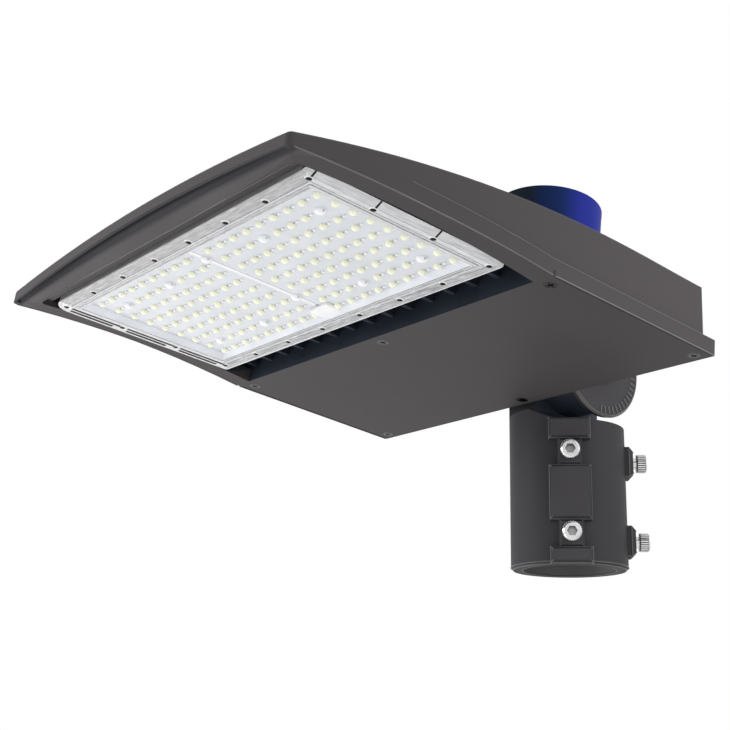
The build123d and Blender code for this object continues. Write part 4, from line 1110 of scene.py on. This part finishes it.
strip = soft_box("board_strip", (-1.4, LENS_MIDDLE - 53, 5.9), (1.4, LENS_MIDDLE + 40, 6.6), 0.25)
hang(strip, "head", "connector_white")
cover = soft_box("connector_cover", (-9, LENS_MIDDLE + 42, 4.2), (9, LENS_MIDDLE + 54, 6.3), 0.6)
hang(cover, "head", "connector_white", "board_connector")

# %% [markdown]
# The clamp screws have knurled heads with a key socket. The CAD shape stays, in a copy whose socket
# and barrel are painted dark as shade. A tree sets ridges round a circle and turns the ring to each
# screw. Every screw is a body of its own, so the tree runs once for each.

# %% Knurled rings
def knurl_tree():
    tree, start, end = new_tree("ridges_round_head", Count=int, Radius=float, Size=tuple,
                                Place=tuple, Turn=tuple, Finish=bpy.types.Material)
    given = start.outputs
    ring = step(tree, "GeometryNodeMeshCircle", Vertices=given["Count"], Radius=given["Radius"])
    where = step(tree, "GeometryNodeInputPosition")
    facing = step(tree, "FunctionNodeAlignRotationToVector", Vector=where.outputs["Position"])
    facing.axis = "X"
    ridge = step(tree, "GeometryNodeMeshCube", Size=given["Size"])
    copies = step(tree, "GeometryNodeInstanceOnPoints", Points=ring.outputs["Mesh"],
                  Instance=ridge.outputs["Mesh"], Rotation=facing.outputs["Rotation"])
    placed = step(tree, "GeometryNodeTransform", Geometry=copies.outputs["Instances"],
                  Translation=given["Place"], Rotation=given["Turn"])
    close_tree(tree, end, placed.outputs["Geometry"], given["Finish"])
    return tree


CLAMP_HEAD = 7.2
CLAMP_SEATS = {"front": 44.5, "side": 46.5}
SOCKET_REACH, BARREL_REACH = 3.4, 5.8
knurls = knurl_tree()


def clamp_coat(offset, normal, away, seat):
    """Bright end; painted shade on the barrel and in the socket, dark on its walls and grey on its
    floor.
    """
    along = offset.dot(away)
    reach = (offset - away * along).length / MM
    facing = abs(normal.dot(away))
    if along / MM > seat + 1 and reach < SOCKET_REACH:
        return 2 if facing > 0.5 else 1
    return 1 if reach > BARREL_REACH and facing < 0.5 else 0


for side, seat in CLAMP_SEATS.items():
    away = clamp_away(side)
    turn = away.to_track_quat("Z", "Y").to_euler()
    for level, height in CLAMP_HEIGHTS.items():
        node = f"clamp_screw_{side}_{level}"
        middle = Vector((0, 0, height)) * MM
        screw = coated_copy(node, node + "_zinc", (bright_zinc, dark_zinc_and_socket_shade, socket_zinc_shade),
                            lambda place, normal: clamp_coat(place - middle, normal, away, seat))
        hang(screw, node, "zinc_steel", node)
        place = away * (seat + CLAMP_HEAD / 2) * MM + middle
        ring = grow(f"knurl_{side}_{level}", [(0, 0, 0)], knurls, Count=26, Radius=6 * MM,
                    Turn=tuple(turn), Size=mm(0.7, 0.8, 5.0), Place=tuple(place),
                    Finish=bright_zinc)
        hang(ring, node, "zinc_steel")

# %% [markdown]
# The pieces that keep their CAD shape only need a finish. The screws of the cover and the pivot's
# bolt, washers and nut are darker than the other screws.

# %% Finishes for the other pieces
finishes = {
    "zinc_steel": bright_zinc, "sink_metal": sink_metal, "seal_rubber": rubber,
    "board_white": board_white, "board_green": board_green, "led_phosphor": phosphor,
    "connector_white": connector_white, "clear_lens": lens_coats["clear"],
    "gear_black": gear_black, "lead_cover": lead_cover, "cell_blue": cell_blue,
    "cell_window": cell_window, "blade_brass": blade_brass, "powder_coat": powder,
}
for part in frame["record"]["subparts"]:
    for slot in nodes[part["node"]].material_slots:
        slot.material = finishes[part["material_slot"]]
nodes["cover_screws"].material_slots[0].material = screw_black
for node in ("pivot_bolt", "pivot_washers", "pivot_nut"):
    nodes[node].material_slots[0].material = dark_zinc_and_socket_shade
